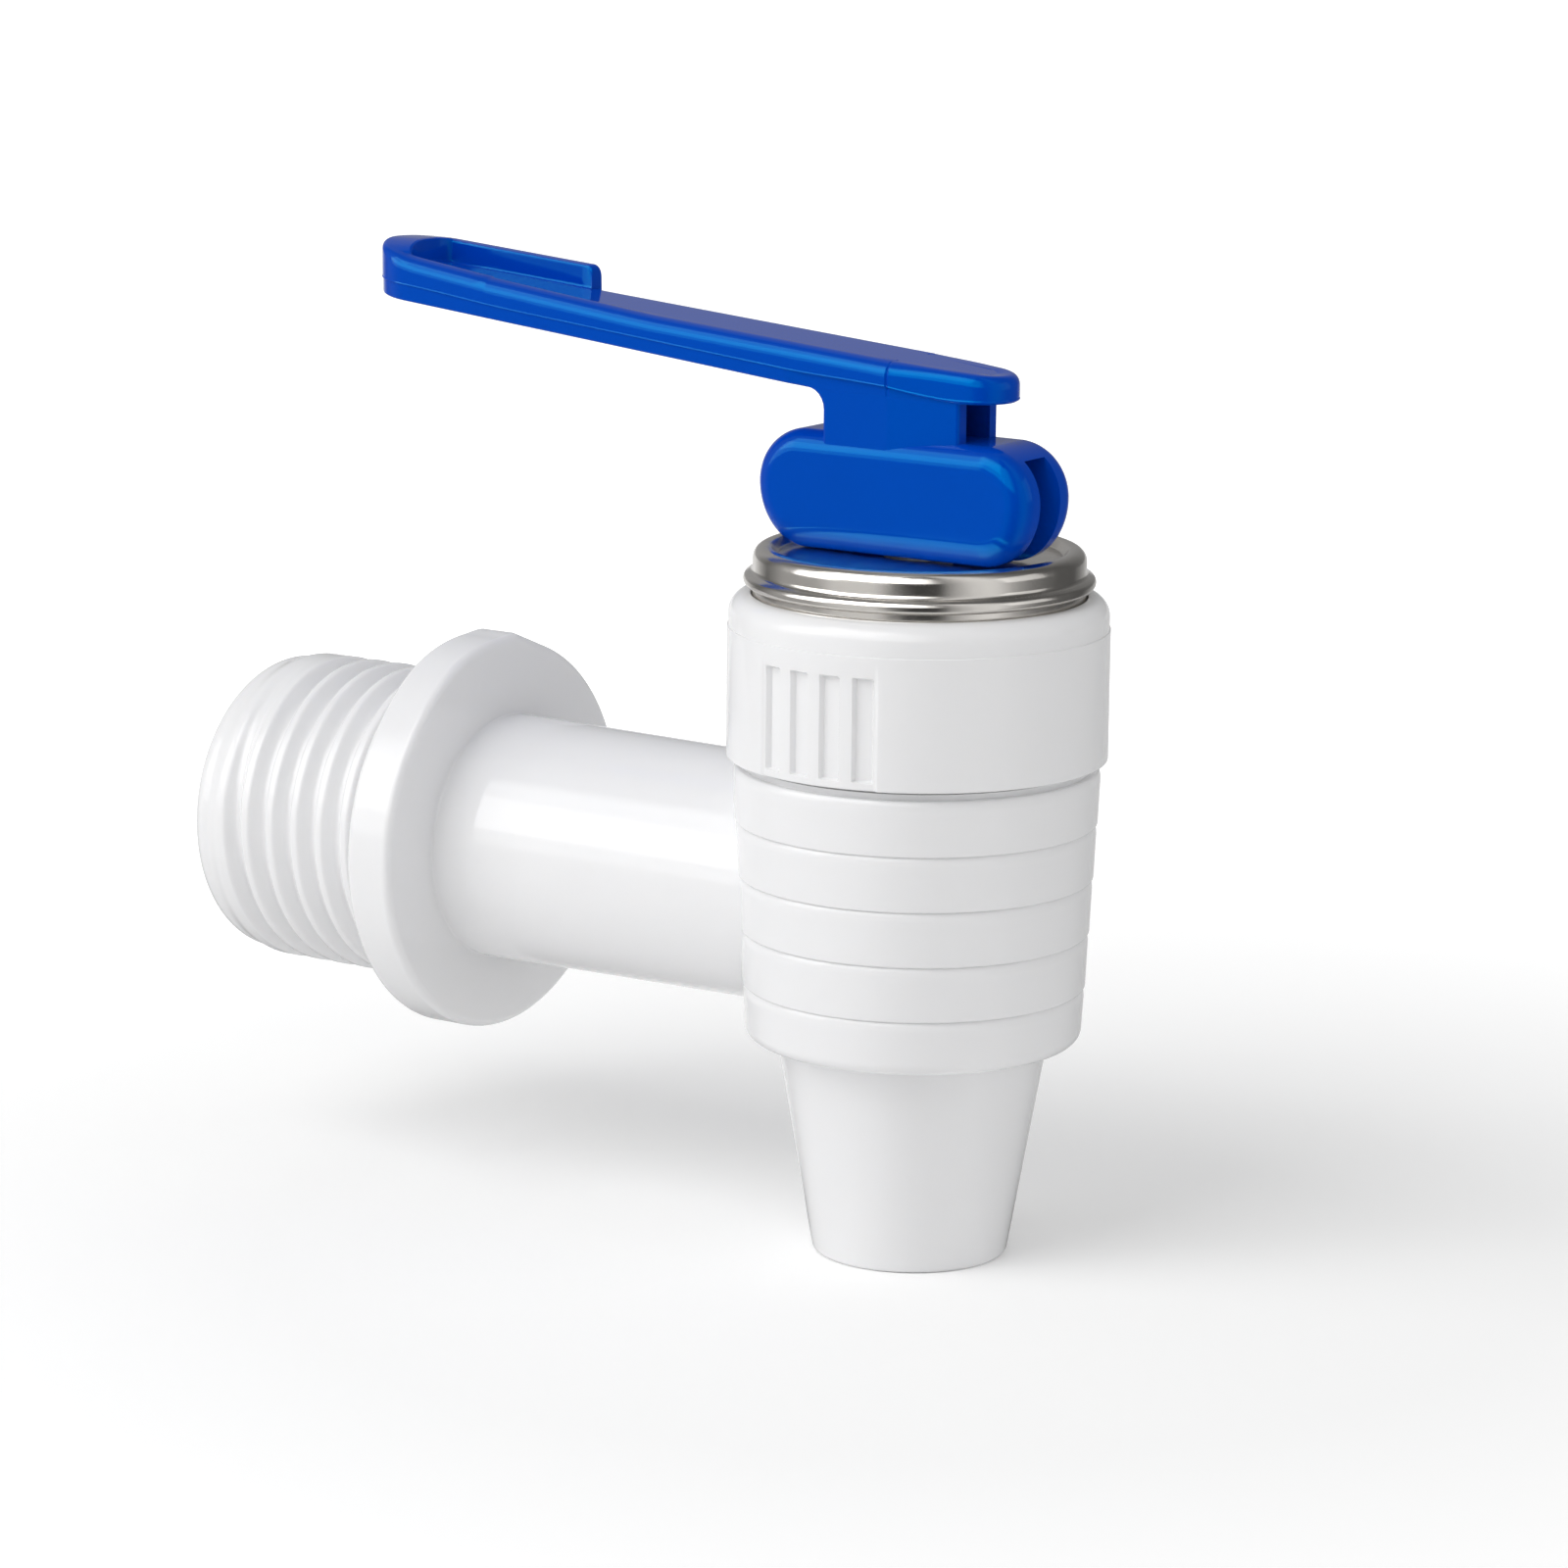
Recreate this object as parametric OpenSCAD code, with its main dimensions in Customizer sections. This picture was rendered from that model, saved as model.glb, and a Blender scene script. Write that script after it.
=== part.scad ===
// Push-lever spigot for a water dispenser.
// X runs out of the tank wall along the shank, Z is up, and the origin is the centre of the flange's
// back face. All lengths are in millimetres.

/* [Shank] */
// Outside diameter over the thread's crests
thread_d = 20; // [17:0.5:26]
// Distance between neighbouring crests
thread_pitch = 2; // [1.5:0.1:3]
// Depth from crest to root
thread_depth = 1.1; // [0.6:0.05:1.4]
// Number of crests
thread_turns = 6; // [3:1:9]
// Plain nose at the end of the shank
nose_len = 1.9; // [1.6:0.1:5]
// Rounding of the nose's end
nose_round = 1.3; // [0.5:0.1:1.4]
// Plain root between the last crest and the flange
thread_run_out = 1.2; // [0.8:0.1:4]
// Diameter of the water inlet through shank and tube
inlet_d = 10.4; // [6:0.2:12]

/* [Flange and tube] */
// Diameter of the flange that seats on the tank wall
flange_d = 25; // [23:0.5:40]
// Thickness of the flange
flange_t = 3.35; // [2:0.05:6]
// Distance from the flange's back face to the barrel's axis
reach = 34.45; // [30:0.5:60]
// Diameter of the tube where it leaves the flange
tube_d = 15.7; // [15:0.1:18]
// How much thinner the tube is at the barrel
tube_taper = 0.7; // [0:0.1:1.5]
// Radius of the fillet between tube and flange
tube_fillet = 0.3; // [0.2:0.1:3]

/* [Barrel] */
// Number of stepped bands
band_count = 5; // [3:1:7]
// Height of one band
band_h = 3.4; // [3:0.1:5]
// Diameter of the lowest band at its bottom edge
band_bottom_d = 20.7; // [20.4:0.1:24]
// Growth of the radius from one band to the next
band_step = 0.184; // [0.1:0.002:0.3]
// Height of the lowest band's bottom edge below the shank's axis
band_drop = 8.5; // [8:0.1:12]
// Bore of the valve chamber
chamber_d = 16; // [13:0.2:16.4]
// Thickness of the chamber's floor above the lowest edge
chamber_floor = 1.9; // [1.2:0.1:2.4]
// Diameter of the neck that the bonnet screws on
neck_d = 20; // [19.6:0.1:20.6]
// Height of the neck above the bands
neck_h = 3.9; // [3:0.1:6]

/* [Nozzle] */
// Depth of the nozzle's mouth below the shank's axis
mouth_drop = 22; // [18:0.5:30]
// Outside diameter at the mouth
mouth_d = 12.1; // [11.4:0.1:14]
// Outside diameter at the root, under the bands
nozzle_root_d = 15.9; // [14.6:0.1:17]
// Bore of the outlet
outlet_d = 9.2; // [6:0.2:9.6]
// Height of the valve seat's lip above the chamber's floor
seat_h = 0.8; // [0.4:0.1:1.4]

/* [Bonnet] */
// Outside diameter of the bonnet's skirt
bonnet_d = 23.25; // [23:0.05:26]
// Height of the skirt
bonnet_h = 10; // [8:0.1:14]
// Gap left open between the top band and the skirt
bonnet_gap = 0.6; // [0.3:0.1:1.5]
// Radius of the skirt's rounded shoulder
skirt_round = 1.2; // [0.6:0.1:1.4]
// Number of grip flutes on each side
flute_count = 4; // [2:1:7]
// Angle from one flute to the next, in degrees
flute_pitch = 10.7; // [9:0.1:12]
// Angle covered by one flute, in degrees
flute_angle = 6.2; // [4:0.1:7]
// Depth of a flute
flute_depth = 0.42; // [0.2:0.02:0.6]

/* [Cap] */
// Outside diameter of the plated cap above its bead
cap_d = 20.2; // [20:0.1:20.8]
// Outside diameter over the bead
bead_d = 21.35; // [21:0.05:22]
// Height of the cap's top above the bonnet's mouth
cap_rise = 2.85; // [2.4:0.05:4]
// Thickness of the cap's sheet
cap_t = 0.4; // [0.3:0.05:0.5]

/* [Lever] */
// Length of the paddle from the pin to its free end
paddle_len = 40.15; // [30:0.5:60]
// Width of the paddle and of its head
lever_w = 6.3; // [6:0.1:8]
// Thickness of the paddle at the barrel's axis
paddle_t = 2.55; // [2:0.05:4]
// Rise of the paddle's top towards its free end, per unit of length
paddle_rise = 0.08; // [0:0.01:0.2]
// Thinning of the paddle towards its free end, per unit of length
paddle_thin = 0.016; // [0:0.002:0.02]
// Height of the lip round the free end
lip_h = 1.45; // [0.6:0.05:2]
// Length of the lip's straight leg on the far side
lip_len = 11; // [6:0.5:20]
// Length over which the lip fades out on the near side
lip_fade_len = 5.9; // [3:0.1:9]
// Height of the lever's head
head_h = 6.7; // [6.4:0.1:8]
// Length of the head from the pin towards the paddle's free end
head_back = 10.25; // [8:0.05:12]
// Length of the head from the pin the other way
head_front = 9.1; // [7:0.1:11]
// Rounding of the head's outer faces
head_round = 1.4; // [0.5:0.1:1.6]
// Height of the neck between head and paddle, at the axis
lever_neck_h = 2; // [1.5:0.1:5]

/* [Valve] */
// Diameter of the stem
stem_d = 4; // [3:0.1:4.4]
// Thickness of the stem's flat eye
eye_t = 2; // [1.6:0.1:2.4]
// Diameter of the hinge pin
pin_d = 2; // [1.4:0.1:2.4]
// Diameter of the spring's wire
wire_d = 0.8; // [0.5:0.05:1]
// Mean diameter of the spring
spring_d = 7; // [6.4:0.1:7.2]
// Number of turns of the spring
spring_turns = 8; // [6:1:10]

/* [Hidden] */
$fn = 96;

// How far a raised detail is sunk into its neighbour, and how far a cutter runs past a face
sink = 0.2;
cut_over = 1;

// Clearances
pin_clear = 0.05;
eye_clear = 0.02;
guide_clear = 0.08;
thread_clear = 0.1;
slot_clear = 0.15;
cap_seat_clear = 0.05;
head_lift = 0.1;
rim_clear = 0.1;

// Furthest that the lever is pressed, in degrees
press_angle = 20;

// Shank, flange and tube
shank_len = nose_len + thread_turns * thread_pitch + thread_run_out;
thread_root_r = thread_d / 2 - thread_depth;
crest_land = 0.28 * thread_pitch;
crest_foot = 0.8 * thread_pitch;
nose_r = thread_d / 2 - 0.3;
nose_foot = 0.4;
nose_end_x = -shank_len + nose_len;
flange_edge = 0.5;
tube_root_r = tube_d / 2;
tube_end_r = tube_d / 2 - tube_taper / 2;

// Relief round the shank, which keeps the seating face clear of the thread
relief_r = thread_d / 2 + 0.4;
relief_depth = 0.3;

// Barrel
band_z0 = -band_drop;
band_top_z = band_z0 + band_count * band_h;
band_round = 0.35;
band_lean = 0.11;
band_edge = 0.1;
bottom_round = 0.8;
chamber_z0 = band_z0 + chamber_floor;
neck_r = neck_d / 2;
neck_root_r = neck_r - 0.4;
neck_top_z = band_top_z + neck_h;
neck_ridges = 2;
neck_land_half = 0.25;
neck_foot_half = 0.6;
neck_land_drop = 0.9;
neck_land_pitch = neck_h / 2.2;

// Nozzle and seat
mouth_z = -mouth_drop;
mouth_round = 0.3;
nozzle_root_z = band_z0 - 2.2;
root_flare = [[0.5, 0.9], [1.1, 0.35]];
outlet_r = outlet_d / 2;
seat_z = chamber_z0 + seat_h;
seat_w = 0.9;
seat_edge = 0.2;

// Bonnet
skirt_z0 = band_top_z + bonnet_gap;
skirt_top_z = skirt_z0 + bonnet_h;
skirt_r = bonnet_d / 2;
skirt_bore_r = neck_r + thread_clear;
seal_rim_t = 1;
ledge_z = neck_top_z + seal_rim_t;
cap_z = skirt_top_z + cap_rise;
boss_top_z = cap_z - cap_t;
boss_r = cap_d / 2 - cap_t - cap_seat_clear;
roof_t = 1.4;
roof_z = boss_top_z - roof_t;
spring_room_r = chamber_d / 2 - 0.2;
mouth_r = cap_d / 2 + rim_clear;
mouth_depth = 1.7;
skirt_edge = 0.08;
parting_drop = 2;
parting_step = 0.05;
boss_edge = 0.5;
flute_top_gap = 3.2;
flute_foot_gap = 0.7;
panel_depth = 0.14;
panel_margin = 0.6;
panel_sill = 0.3;

// Cap
cap_r = cap_d / 2;
bead_r = bead_d / 2;
bead_z = skirt_top_z + 0.85;
bead_half = 0.42;
bead_neck = 0.35;
cap_round = 0.6;
cap_inner_edge = 0.5;
cap_skirt_z = skirt_top_z - mouth_depth + rim_clear;
cap_hole_r = 2.7;

// Lever, in heights above the shank's axis and lengths from the pin
lever_half = lever_w / 2;
head_r = head_h / 2;
pin_z = cap_z + head_lift + head_r;
head_top_z = pin_z + head_r;
back_x = -(head_back - head_r);
front_x = head_front - head_r;
slot_half = eye_t / 2 + slot_clear;
slot_roof = 0.8;
slot_top_z = head_top_z - slot_roof;
paddle_under_z = head_top_z + lever_neck_h;
paddle_top_z = paddle_under_z + paddle_t;

// Height that clears the lever's highest point, for what is drawn in plan and cut to its side view
tall = paddle_top_z + paddle_len;
tip_x = -(paddle_len - lever_half);
toe_r = 1.6;
toe_x = 4.85;
taper_x = -0.6;
neck_back_x = -5.3;
neck_front_x = 4.2;
neck_wall = 0.95;
neck_fillet = 1.3;
fillet_x = neck_back_x - neck_fillet;
neck_sink = 0.8;
toe_wall = 0.75;
toe_under_z = paddle_under_z + 0.4;
lip_w = 1;
lip_tip_w = 2;
lip_end_x = tip_x + lip_len;
lip_fade_x = tip_x + lip_fade_len;
lip_sink = 1;
fade_lead = 0.1;
cheek_skin = 0.85;
pin_half_len = lever_half - cheek_skin;

// Stem, seal and spring
stem_r = stem_d / 2;
eye_wall = 1.05;
eye_r = pin_d / 2 + eye_wall;
eye_z0 = pin_z - head_r / cos(press_angle) - stem_r * tan(press_angle) - slot_clear;
shoulder_margin = 0.3;
shoulder_r = spring_d / 2 + wire_d / 2 + shoulder_margin;
shoulder_clear = 0.35;
shoulder_z = 5;
shoulder_t = 1;
hook_r = 3;
hook_t = 1.2;
hook_edge = 0.4;
seal_web_t = 0.8;
plug_margin = 1.4;
seal_plug_r = outlet_r + plug_margin;
plug_edge = 0.3;
bell_fold_h = 3.4;
rim_edge = 0.4;
plug_h = 2.2;
hook_z = seat_z + plug_h;
hook_clear = 0.1;
washer_t = 0.5;
washer_margin = 1.5;
washer_r = spring_d / 2 + wire_d / 2 + washer_margin;
closed_gap = 1.06;
washer_z = roof_z - washer_t;
spring_z0 = shoulder_z;
spring_z1 = washer_z;

// Colours
white_plastic = [0.93, 0.93, 0.93];
blue_plastic = [0.02, 0.28, 0.72];
plated_steel = [0.75, 0.73, 0.7];
seal_rubber = [0.85, 0.85, 0.82];
inner_plastic = [0.88, 0.88, 0.86];

// Points on an arc in the drawing plane, from angle a0 to angle a1
function arc(cx, cy, r, a0, a1, n = 5) =
    [for (i = [0 : n]) let (a = a0 + (a1 - a0) * i / n) [cx + r * cos(a), cy + r * sin(a)]];

// Turns a solid of revolution about Z so that its axis lies along X
module along_x() {
    rotate([0, 90, 0]) children();
}

module on_barrel() {
    translate([reach, 0, 0]) children();
}

// One revolved profile from the shank's nose to the barrel's axis, as [radius, x]
module shank_flange_tube() {
    along_x()
        rotate_extrude()
            polygon(concat(
                [[0, -shank_len]],
                arc(nose_r - nose_round, -shank_len + nose_round, nose_round, -90, 0),
                [[nose_r, nose_end_x - nose_foot], [thread_root_r, nose_end_x],
                 [thread_root_r, relief_depth], [relief_r, relief_depth], [relief_r, 0]],
                arc(flange_d / 2 - flange_edge, flange_edge, flange_edge, -90, 0),
                arc(flange_d / 2 - flange_edge, flange_t - flange_edge, flange_edge, 0, 90),
                arc(tube_root_r + tube_fillet, flange_t + tube_fillet, tube_fillet, 270, 180),
                [[tube_end_r, reach], [0, reach]]));
}

// The thread's crests, each with a land at the full diameter
module thread_ridges() {
    for (i = [0 : thread_turns - 1])
        translate([-thread_run_out - (i + 0.5) * thread_pitch, 0, 0])
            along_x()
                rotate_extrude()
                    polygon([[thread_root_r - sink, -crest_foot / 2], [thread_root_r, -crest_foot / 2],
                             [thread_d / 2, -crest_land / 2], [thread_d / 2, crest_land / 2],
                             [thread_root_r, crest_foot / 2], [thread_root_r - sink, crest_foot / 2]]);
}

// Outline of one band. Its lower edge is crisp, but for the lowest one, and its upper edge is rounded.
function band_outline(i) =
    let (zb = band_z0 + i * band_h, zt = zb + band_h, rb = band_bottom_d / 2 + i * band_step,
         rt = rb + band_lean, edge = i == 0 ? bottom_round : band_edge)
    concat(arc(rb - edge, zb + edge, edge, -90, 0),
           arc(rt - band_round, zt - band_round, band_round, 0, 90));

module barrel_outside() {
    on_barrel()
        rotate_extrude()
            polygon(concat(
                [[0, mouth_z]],
                arc(mouth_d / 2 - mouth_round, mouth_z + mouth_round, mouth_round, -90, -10),
                [[nozzle_root_d / 2, nozzle_root_z]],
                [for (f = root_flare) [nozzle_root_d / 2 + f[0], band_z0 - f[1]]],
                [for (i = [0 : band_count - 1]) each band_outline(i)],
                [[neck_root_r, band_top_z], [neck_root_r, neck_top_z], [0, neck_top_z]]));
}

// Screw lands on the neck, which the bonnet's skirt runs on
module neck_lands() {
    for (i = [0 : neck_ridges - 1])
        on_barrel()
            translate([0, 0, neck_top_z - neck_land_drop - i * neck_land_pitch])
                rotate_extrude()
                    polygon([[neck_root_r - sink, -neck_foot_half], [neck_r, -neck_land_half],
                             [neck_r, neck_land_half], [neck_root_r - sink, neck_foot_half]]);
}

module seat_lip() {
    on_barrel()
        rotate_extrude()
            polygon([[outlet_r, chamber_z0 - sink], [outlet_r + seat_w + seat_edge, chamber_z0 - sink],
                     [outlet_r + seat_w, seat_z - seat_edge], [outlet_r + seat_w - seat_edge, seat_z],
                     [outlet_r, seat_z]]);
}

// The one-piece white moulding: shank, flange, tube, barrel and nozzle
module tap_body() {
    color(white_plastic) {
        difference() {
            union() {
                shank_flange_tube();
                thread_ridges();
                barrel_outside();
                neck_lands();
            }
            translate([-shank_len - cut_over, 0, 0])
                along_x()
                    cylinder(d = inlet_d, h = shank_len + cut_over + reach);
            on_barrel()
                translate([0, 0, chamber_z0])
                    cylinder(d = chamber_d, h = neck_top_z - chamber_z0 + cut_over);
            on_barrel()
                translate([0, 0, mouth_z - cut_over])
                    cylinder(d = outlet_d, h = chamber_z0 - mouth_z + 2 * cut_over);
        }
        seat_lip();
    }
}

// A stretch of ring cut out of the skirt's surface, centred on the angle a
module skirt_cut(a, span, depth, z0, z1) {
    translate([0, 0, z0])
        rotate([0, 0, a - span / 2])
            rotate_extrude(angle = span)
                translate([skirt_r - depth, 0])
                    square([depth + cut_over, z1 - z0]);
}

// Grip panel: a shallow field with deeper flutes in it
module grip_panel(a) {
    field = (flute_count - 1) * flute_pitch + flute_angle + 2 * panel_margin;
    flute_top = skirt_top_z - flute_top_gap;
    skirt_cut(a, field, panel_depth, skirt_z0 - cut_over, flute_top - panel_sill);
    for (i = [0 : flute_count - 1])
        skirt_cut(a + (i - (flute_count - 1) / 2) * flute_pitch, flute_angle, flute_depth,
                  skirt_z0 + flute_foot_gap, flute_top);
}

// Bonnet: fluted skirt on the barrel's neck, with the raised boss that carries the cap
module bonnet() {
    color(white_plastic)
        on_barrel()
            difference() {
                rotate_extrude()
                    polygon(concat(
                        [[skirt_bore_r, skirt_z0], [skirt_r - skirt_edge, skirt_z0],
                         [skirt_r, skirt_z0 + skirt_edge], [skirt_r, skirt_top_z - parting_drop],
                         [skirt_r - parting_step, skirt_top_z - parting_drop + 2 * parting_step]],
                        arc(skirt_r - parting_step - skirt_round, skirt_top_z - skirt_round,
                            skirt_round, 0, 90),
                        [[mouth_r, skirt_top_z], [mouth_r, skirt_top_z - mouth_depth],
                         [boss_r, skirt_top_z - mouth_depth], [boss_r, boss_top_z - boss_edge],
                         [boss_r - boss_edge, boss_top_z], [stem_r + guide_clear, boss_top_z],
                         [stem_r + guide_clear, roof_z], [spring_room_r, roof_z],
                         [spring_room_r, ledge_z], [skirt_bore_r, ledge_z]]));
                grip_panel(-90);
                grip_panel(90);
            }
}

// Drawn and plated cup, with a rolled bead above the bonnet's mouth
module cap_plate() {
    inner_r = cap_r - cap_t;
    color(plated_steel)
        on_barrel()
            rotate_extrude()
                polygon(concat(
                    [[cap_hole_r, cap_z - cap_t], [cap_hole_r, cap_z]],
                    arc(cap_r - cap_round, cap_z - cap_round, cap_round, 90, 0),
                    [[cap_r, bead_z + bead_half + bead_neck]],
                    arc(bead_r - bead_half, bead_z, bead_half, 65, -90, 8),
                    [[cap_r, bead_z - bead_half], [cap_r, cap_skirt_z], [inner_r, cap_skirt_z],
                     [inner_r, cap_z - cap_t - cap_inner_edge],
                     [inner_r - cap_inner_edge, cap_z - cap_t]]));
}

// Plan of the paddle, seen from above, with a round free end and a tapered toe.
// inset draws the same outline smaller.
function paddle_plan(inset = 0, tip_inset = 0) =
    let (w = lever_half - inset, toe = toe_r - inset)
    concat(
        arc(tip_x + tip_inset, 0, w, 90, 270, 24),
        [[taper_x, -w]],
        arc(toe_x, 0, toe, -74, 74, 12),
        [[taper_x, w]]);

// Heights of the paddle's top and underside at a distance x from the pin
function top_at(x) = paddle_top_z - paddle_rise * x;
function under_at(x) = paddle_under_z - (paddle_rise + paddle_thin) * x;

// Draws a side profile, given as [x, z], across the whole width of the lever
module side_profile(width = 3 * lever_w) {
    translate([0, width / 2, 0])
        rotate([90, 0, 0])
            linear_extrude(width) children();
}

// The underside is level from the hidden top of the neck to the toe
module paddle() {
    x0 = -paddle_len - cut_over;
    x1 = toe_x + toe_r + cut_over;
    intersection() {
        linear_extrude(tall) polygon(paddle_plan());
        side_profile()
            polygon([[x0, under_at(x0)], [neck_back_x, under_at(neck_back_x)],
                     [neck_back_x + cut_over, toe_under_z], [x1, toe_under_z], [x1, top_at(x1)],
                     [x0, top_at(x0)]]);
    }
}

// Raised lip: full height on the far side and round the end, fading out along the near side
module lip() {
    x0 = -paddle_len - cut_over;
    intersection() {
        difference() {
            linear_extrude(tall) polygon(paddle_plan());
            translate([0, 0, -cut_over])
                linear_extrude(tall + 2 * cut_over)
                    polygon(paddle_plan(lip_w, lip_tip_w - lip_w));
            translate([lip_fade_x, -lever_w, -cut_over])
                cube([paddle_len, lever_w, tall + 2 * cut_over]);
        }
        side_profile()
            polygon([[x0, under_at(x0) + lip_sink], [lip_end_x, under_at(lip_end_x) + lip_sink],
                     [lip_end_x, top_at(lip_end_x) + lip_h], [x0, top_at(x0) + lip_h]]);
    }
}

// Wedge that lets the lip fade on the near side
module lip_fade() {
    x0 = tip_x - lever_half - cut_over;
    translate([0, -lever_w - cut_over, 0])
        side_profile(2 * (lever_w + cut_over))
            polygon([[x0, top_at(tip_x) + lip_h + fade_lead], [lip_fade_x, top_at(lip_fade_x)],
                     [lip_fade_x, tall], [x0, tall]]);
}

// Hollow neck under the paddle, open towards the toe
module lever_neck() {
    difference() {
        intersection() {
            linear_extrude(tall) polygon(paddle_plan());
            side_profile()
                polygon(concat(
                    [[neck_front_x, head_top_z - neck_sink],
                     [neck_front_x, toe_under_z + neck_sink],
                     [fillet_x - neck_sink, under_at(fillet_x - neck_sink) + neck_sink]],
                    arc(fillet_x, under_at(fillet_x) - neck_fillet, neck_fillet, 90, 0),
                    [[neck_back_x, head_top_z - neck_sink]]));
        }
        translate([0, 0, head_top_z])
            linear_extrude(toe_under_z - head_top_z)
                polygon([[neck_back_x + neck_wall, lever_half - neck_wall],
                         [neck_back_x + neck_wall, -lever_half + neck_wall],
                         [taper_x, -lever_half + neck_wall],
                         [neck_front_x + cut_over, toe_wall - toe_r],
                         [neck_front_x + cut_over, toe_r - toe_wall],
                         [taper_x, lever_half - neck_wall]]);
    }
}

// Rounded section of the head, drawn as half of it: radius outwards, width upwards
module head_section() {
    w = lever_half;
    polygon(concat([[0, -w]],
                   arc(head_r - head_round, -w + head_round, head_round, -90, 0),
                   arc(head_r - head_round, w - head_round, head_round, 0, 90),
                   [[0, w]]));
}

// Head of the lever: a long rounded cam block
module head_block() {
    for (x = [back_x, front_x])
        translate([x, 0, pin_z])
            rotate([90, 0, 0])
                rotate_extrude() head_section();
    translate([back_x, 0, pin_z])
        rotate([90, 0, 90])
            linear_extrude(front_x - back_x) {
                rotate(90) head_section();
                rotate(-90) head_section();
            }
}

module lever() {
    color(blue_plastic)
        on_barrel()
            difference() {
                union() {
                    paddle();
                    difference() {
                        lip();
                        lip_fade();
                    }
                    lever_neck();
                    head_block();
                }
                translate([-head_back - cut_over, -slot_half, pin_z - head_r - cut_over])
                    cube([head_back + head_front + 2 * cut_over, 2 * slot_half,
                          slot_top_z - pin_z + head_r + cut_over]);
                translate([0, pin_half_len + pin_clear, pin_z])
                    rotate([90, 0, 0])
                        cylinder(d = pin_d + 2 * pin_clear, h = 2 * (pin_half_len + pin_clear));
            }
}

module hinge_pin() {
    color(plated_steel)
        on_barrel()
            translate([0, pin_half_len, pin_z])
                rotate([90, 0, 0])
                    cylinder(d = pin_d, h = 2 * pin_half_len);
}

// Stem: hook in the seal, shoulder under the spring, rod through the bonnet and flat eye on the pin
module valve_stem() {
    color(inner_plastic)
        on_barrel()
            difference() {
                union() {
                    rotate_extrude()
                        polygon([[0, hook_z], [hook_r - hook_edge, hook_z], [hook_r, hook_z + hook_edge],
                                 [hook_r, hook_z + hook_t], [stem_r, hook_z + hook_t],
                                 [stem_r, shoulder_z - 2 * shoulder_t],
                                 [shoulder_r, shoulder_z - shoulder_t], [shoulder_r, shoulder_z],
                                 [stem_r, shoulder_z], [stem_r, eye_z0], [0, eye_z0]]);
                    intersection() {
                        cylinder(r = stem_r, h = pin_z);
                        translate([-stem_r, -eye_t / 2, eye_z0 - sink])
                            cube([2 * stem_r, eye_t, pin_z - eye_z0 + sink]);
                    }
                    translate([0, eye_t / 2, pin_z])
                        rotate([90, 0, 0])
                            cylinder(r = eye_r, h = eye_t);
                }
                translate([0, eye_t, pin_z])
                    rotate([90, 0, 0])
                        cylinder(d = pin_d + 2 * eye_clear, h = 2 * eye_t);
            }
}

module thrust_washer() {
    color(plated_steel)
        on_barrel()
            translate([0, 0, washer_z])
                difference() {
                    cylinder(r = washer_r, h = washer_t);
                    translate([0, 0, -cut_over])
                        cylinder(r = stem_r + 2 * guide_clear, h = washer_t + 2 * cut_over);
                }
}

// Height of the wire's centre after t turns: closed turns at both ends and an even pitch between
function coil_z(t) =
    let (low = spring_z0 + wire_d / 2, high = spring_z1 - wire_d / 2, close = wire_d * closed_gap,
         open = (high - low - 2 * close) / (spring_turns - 2))
    t < 1 ? low + close * t
          : t > spring_turns - 1 ? high - close * (spring_turns - t)
                                 : low + close + open * (t - 1);

// Compression spring swept along its helix
module return_spring() {
    steps = 14;
    sides = 8;
    count = spring_turns * steps;
    rings = [for (i = [0 : count]) let (a = 360 * i / steps, z = coil_z(i / steps))
             for (k = [0 : sides - 1]) let (b = 360 * k / sides, r = spring_d / 2 + wire_d / 2 * cos(b))
             [r * cos(a), r * sin(a), z + wire_d / 2 * sin(b)]];
    walls = [for (i = [0 : count - 1], k = [0 : sides - 1]) let (n = (k + 1) % sides)
             [i * sides + k, i * sides + n, (i + 1) * sides + n, (i + 1) * sides + k]];
    ends = [[for (k = [sides - 1 : -1 : 0]) k], [for (k = [0 : sides - 1]) count * sides + k]];
    color(plated_steel)
        on_barrel()
            polyhedron(points = rings, faces = concat(walls, ends), convexity = 10);
}

// Soft hat-shaped seal: clamped rim, thin bell and the plug that closes the seat
module seal_cup() {
    bell_in_r = shoulder_r + shoulder_clear;
    bell_r = bell_in_r + seal_web_t;
    hook_top = hook_z + hook_t + hook_clear;
    rim_r = neck_r - hook_clear;
    fold_z = neck_top_z - bell_fold_h;
    color(seal_rubber)
        on_barrel()
            rotate_extrude()
                polygon([[0, seat_z], [seal_plug_r - plug_edge, seat_z], [seal_plug_r, seat_z + plug_edge],
                         [seal_plug_r, hook_z + hook_t / 2], [bell_r, hook_top + hook_t],
                         [bell_r, fold_z], [chamber_d / 2 - seal_web_t, fold_z + bell_fold_h / 2],
                         [chamber_d / 2 - hook_clear, neck_top_z], [rim_r, neck_top_z],
                         [rim_r, ledge_z], [spring_room_r - rim_edge, ledge_z],
                         [spring_room_r - 1.5 * seal_web_t, neck_top_z - seal_rim_t],
                         [bell_in_r, fold_z + seal_web_t], [bell_in_r, hook_top + 2 * seal_web_t],
                         [stem_r + hook_clear, hook_top + seal_web_t],
                         [stem_r + hook_clear, hook_top],
                         [hook_r + hook_clear, hook_top], [hook_r + hook_clear, hook_z - hook_clear],
                         [0, hook_z - hook_clear]]);
}

tap_body();
bonnet();
cap_plate();
lever();
hinge_pin();
valve_stem();
thrust_washer();
return_spring();
seal_cup();
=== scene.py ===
"""Push-lever water spigot: finished mouldings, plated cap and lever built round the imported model."""

import logging
import math
from collections.abc import Callable, Sequence
from dataclasses import dataclass
from enum import Enum

import bpy
from mathutils import Matrix, Vector
from mathutils.kdtree import KDTree


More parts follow.
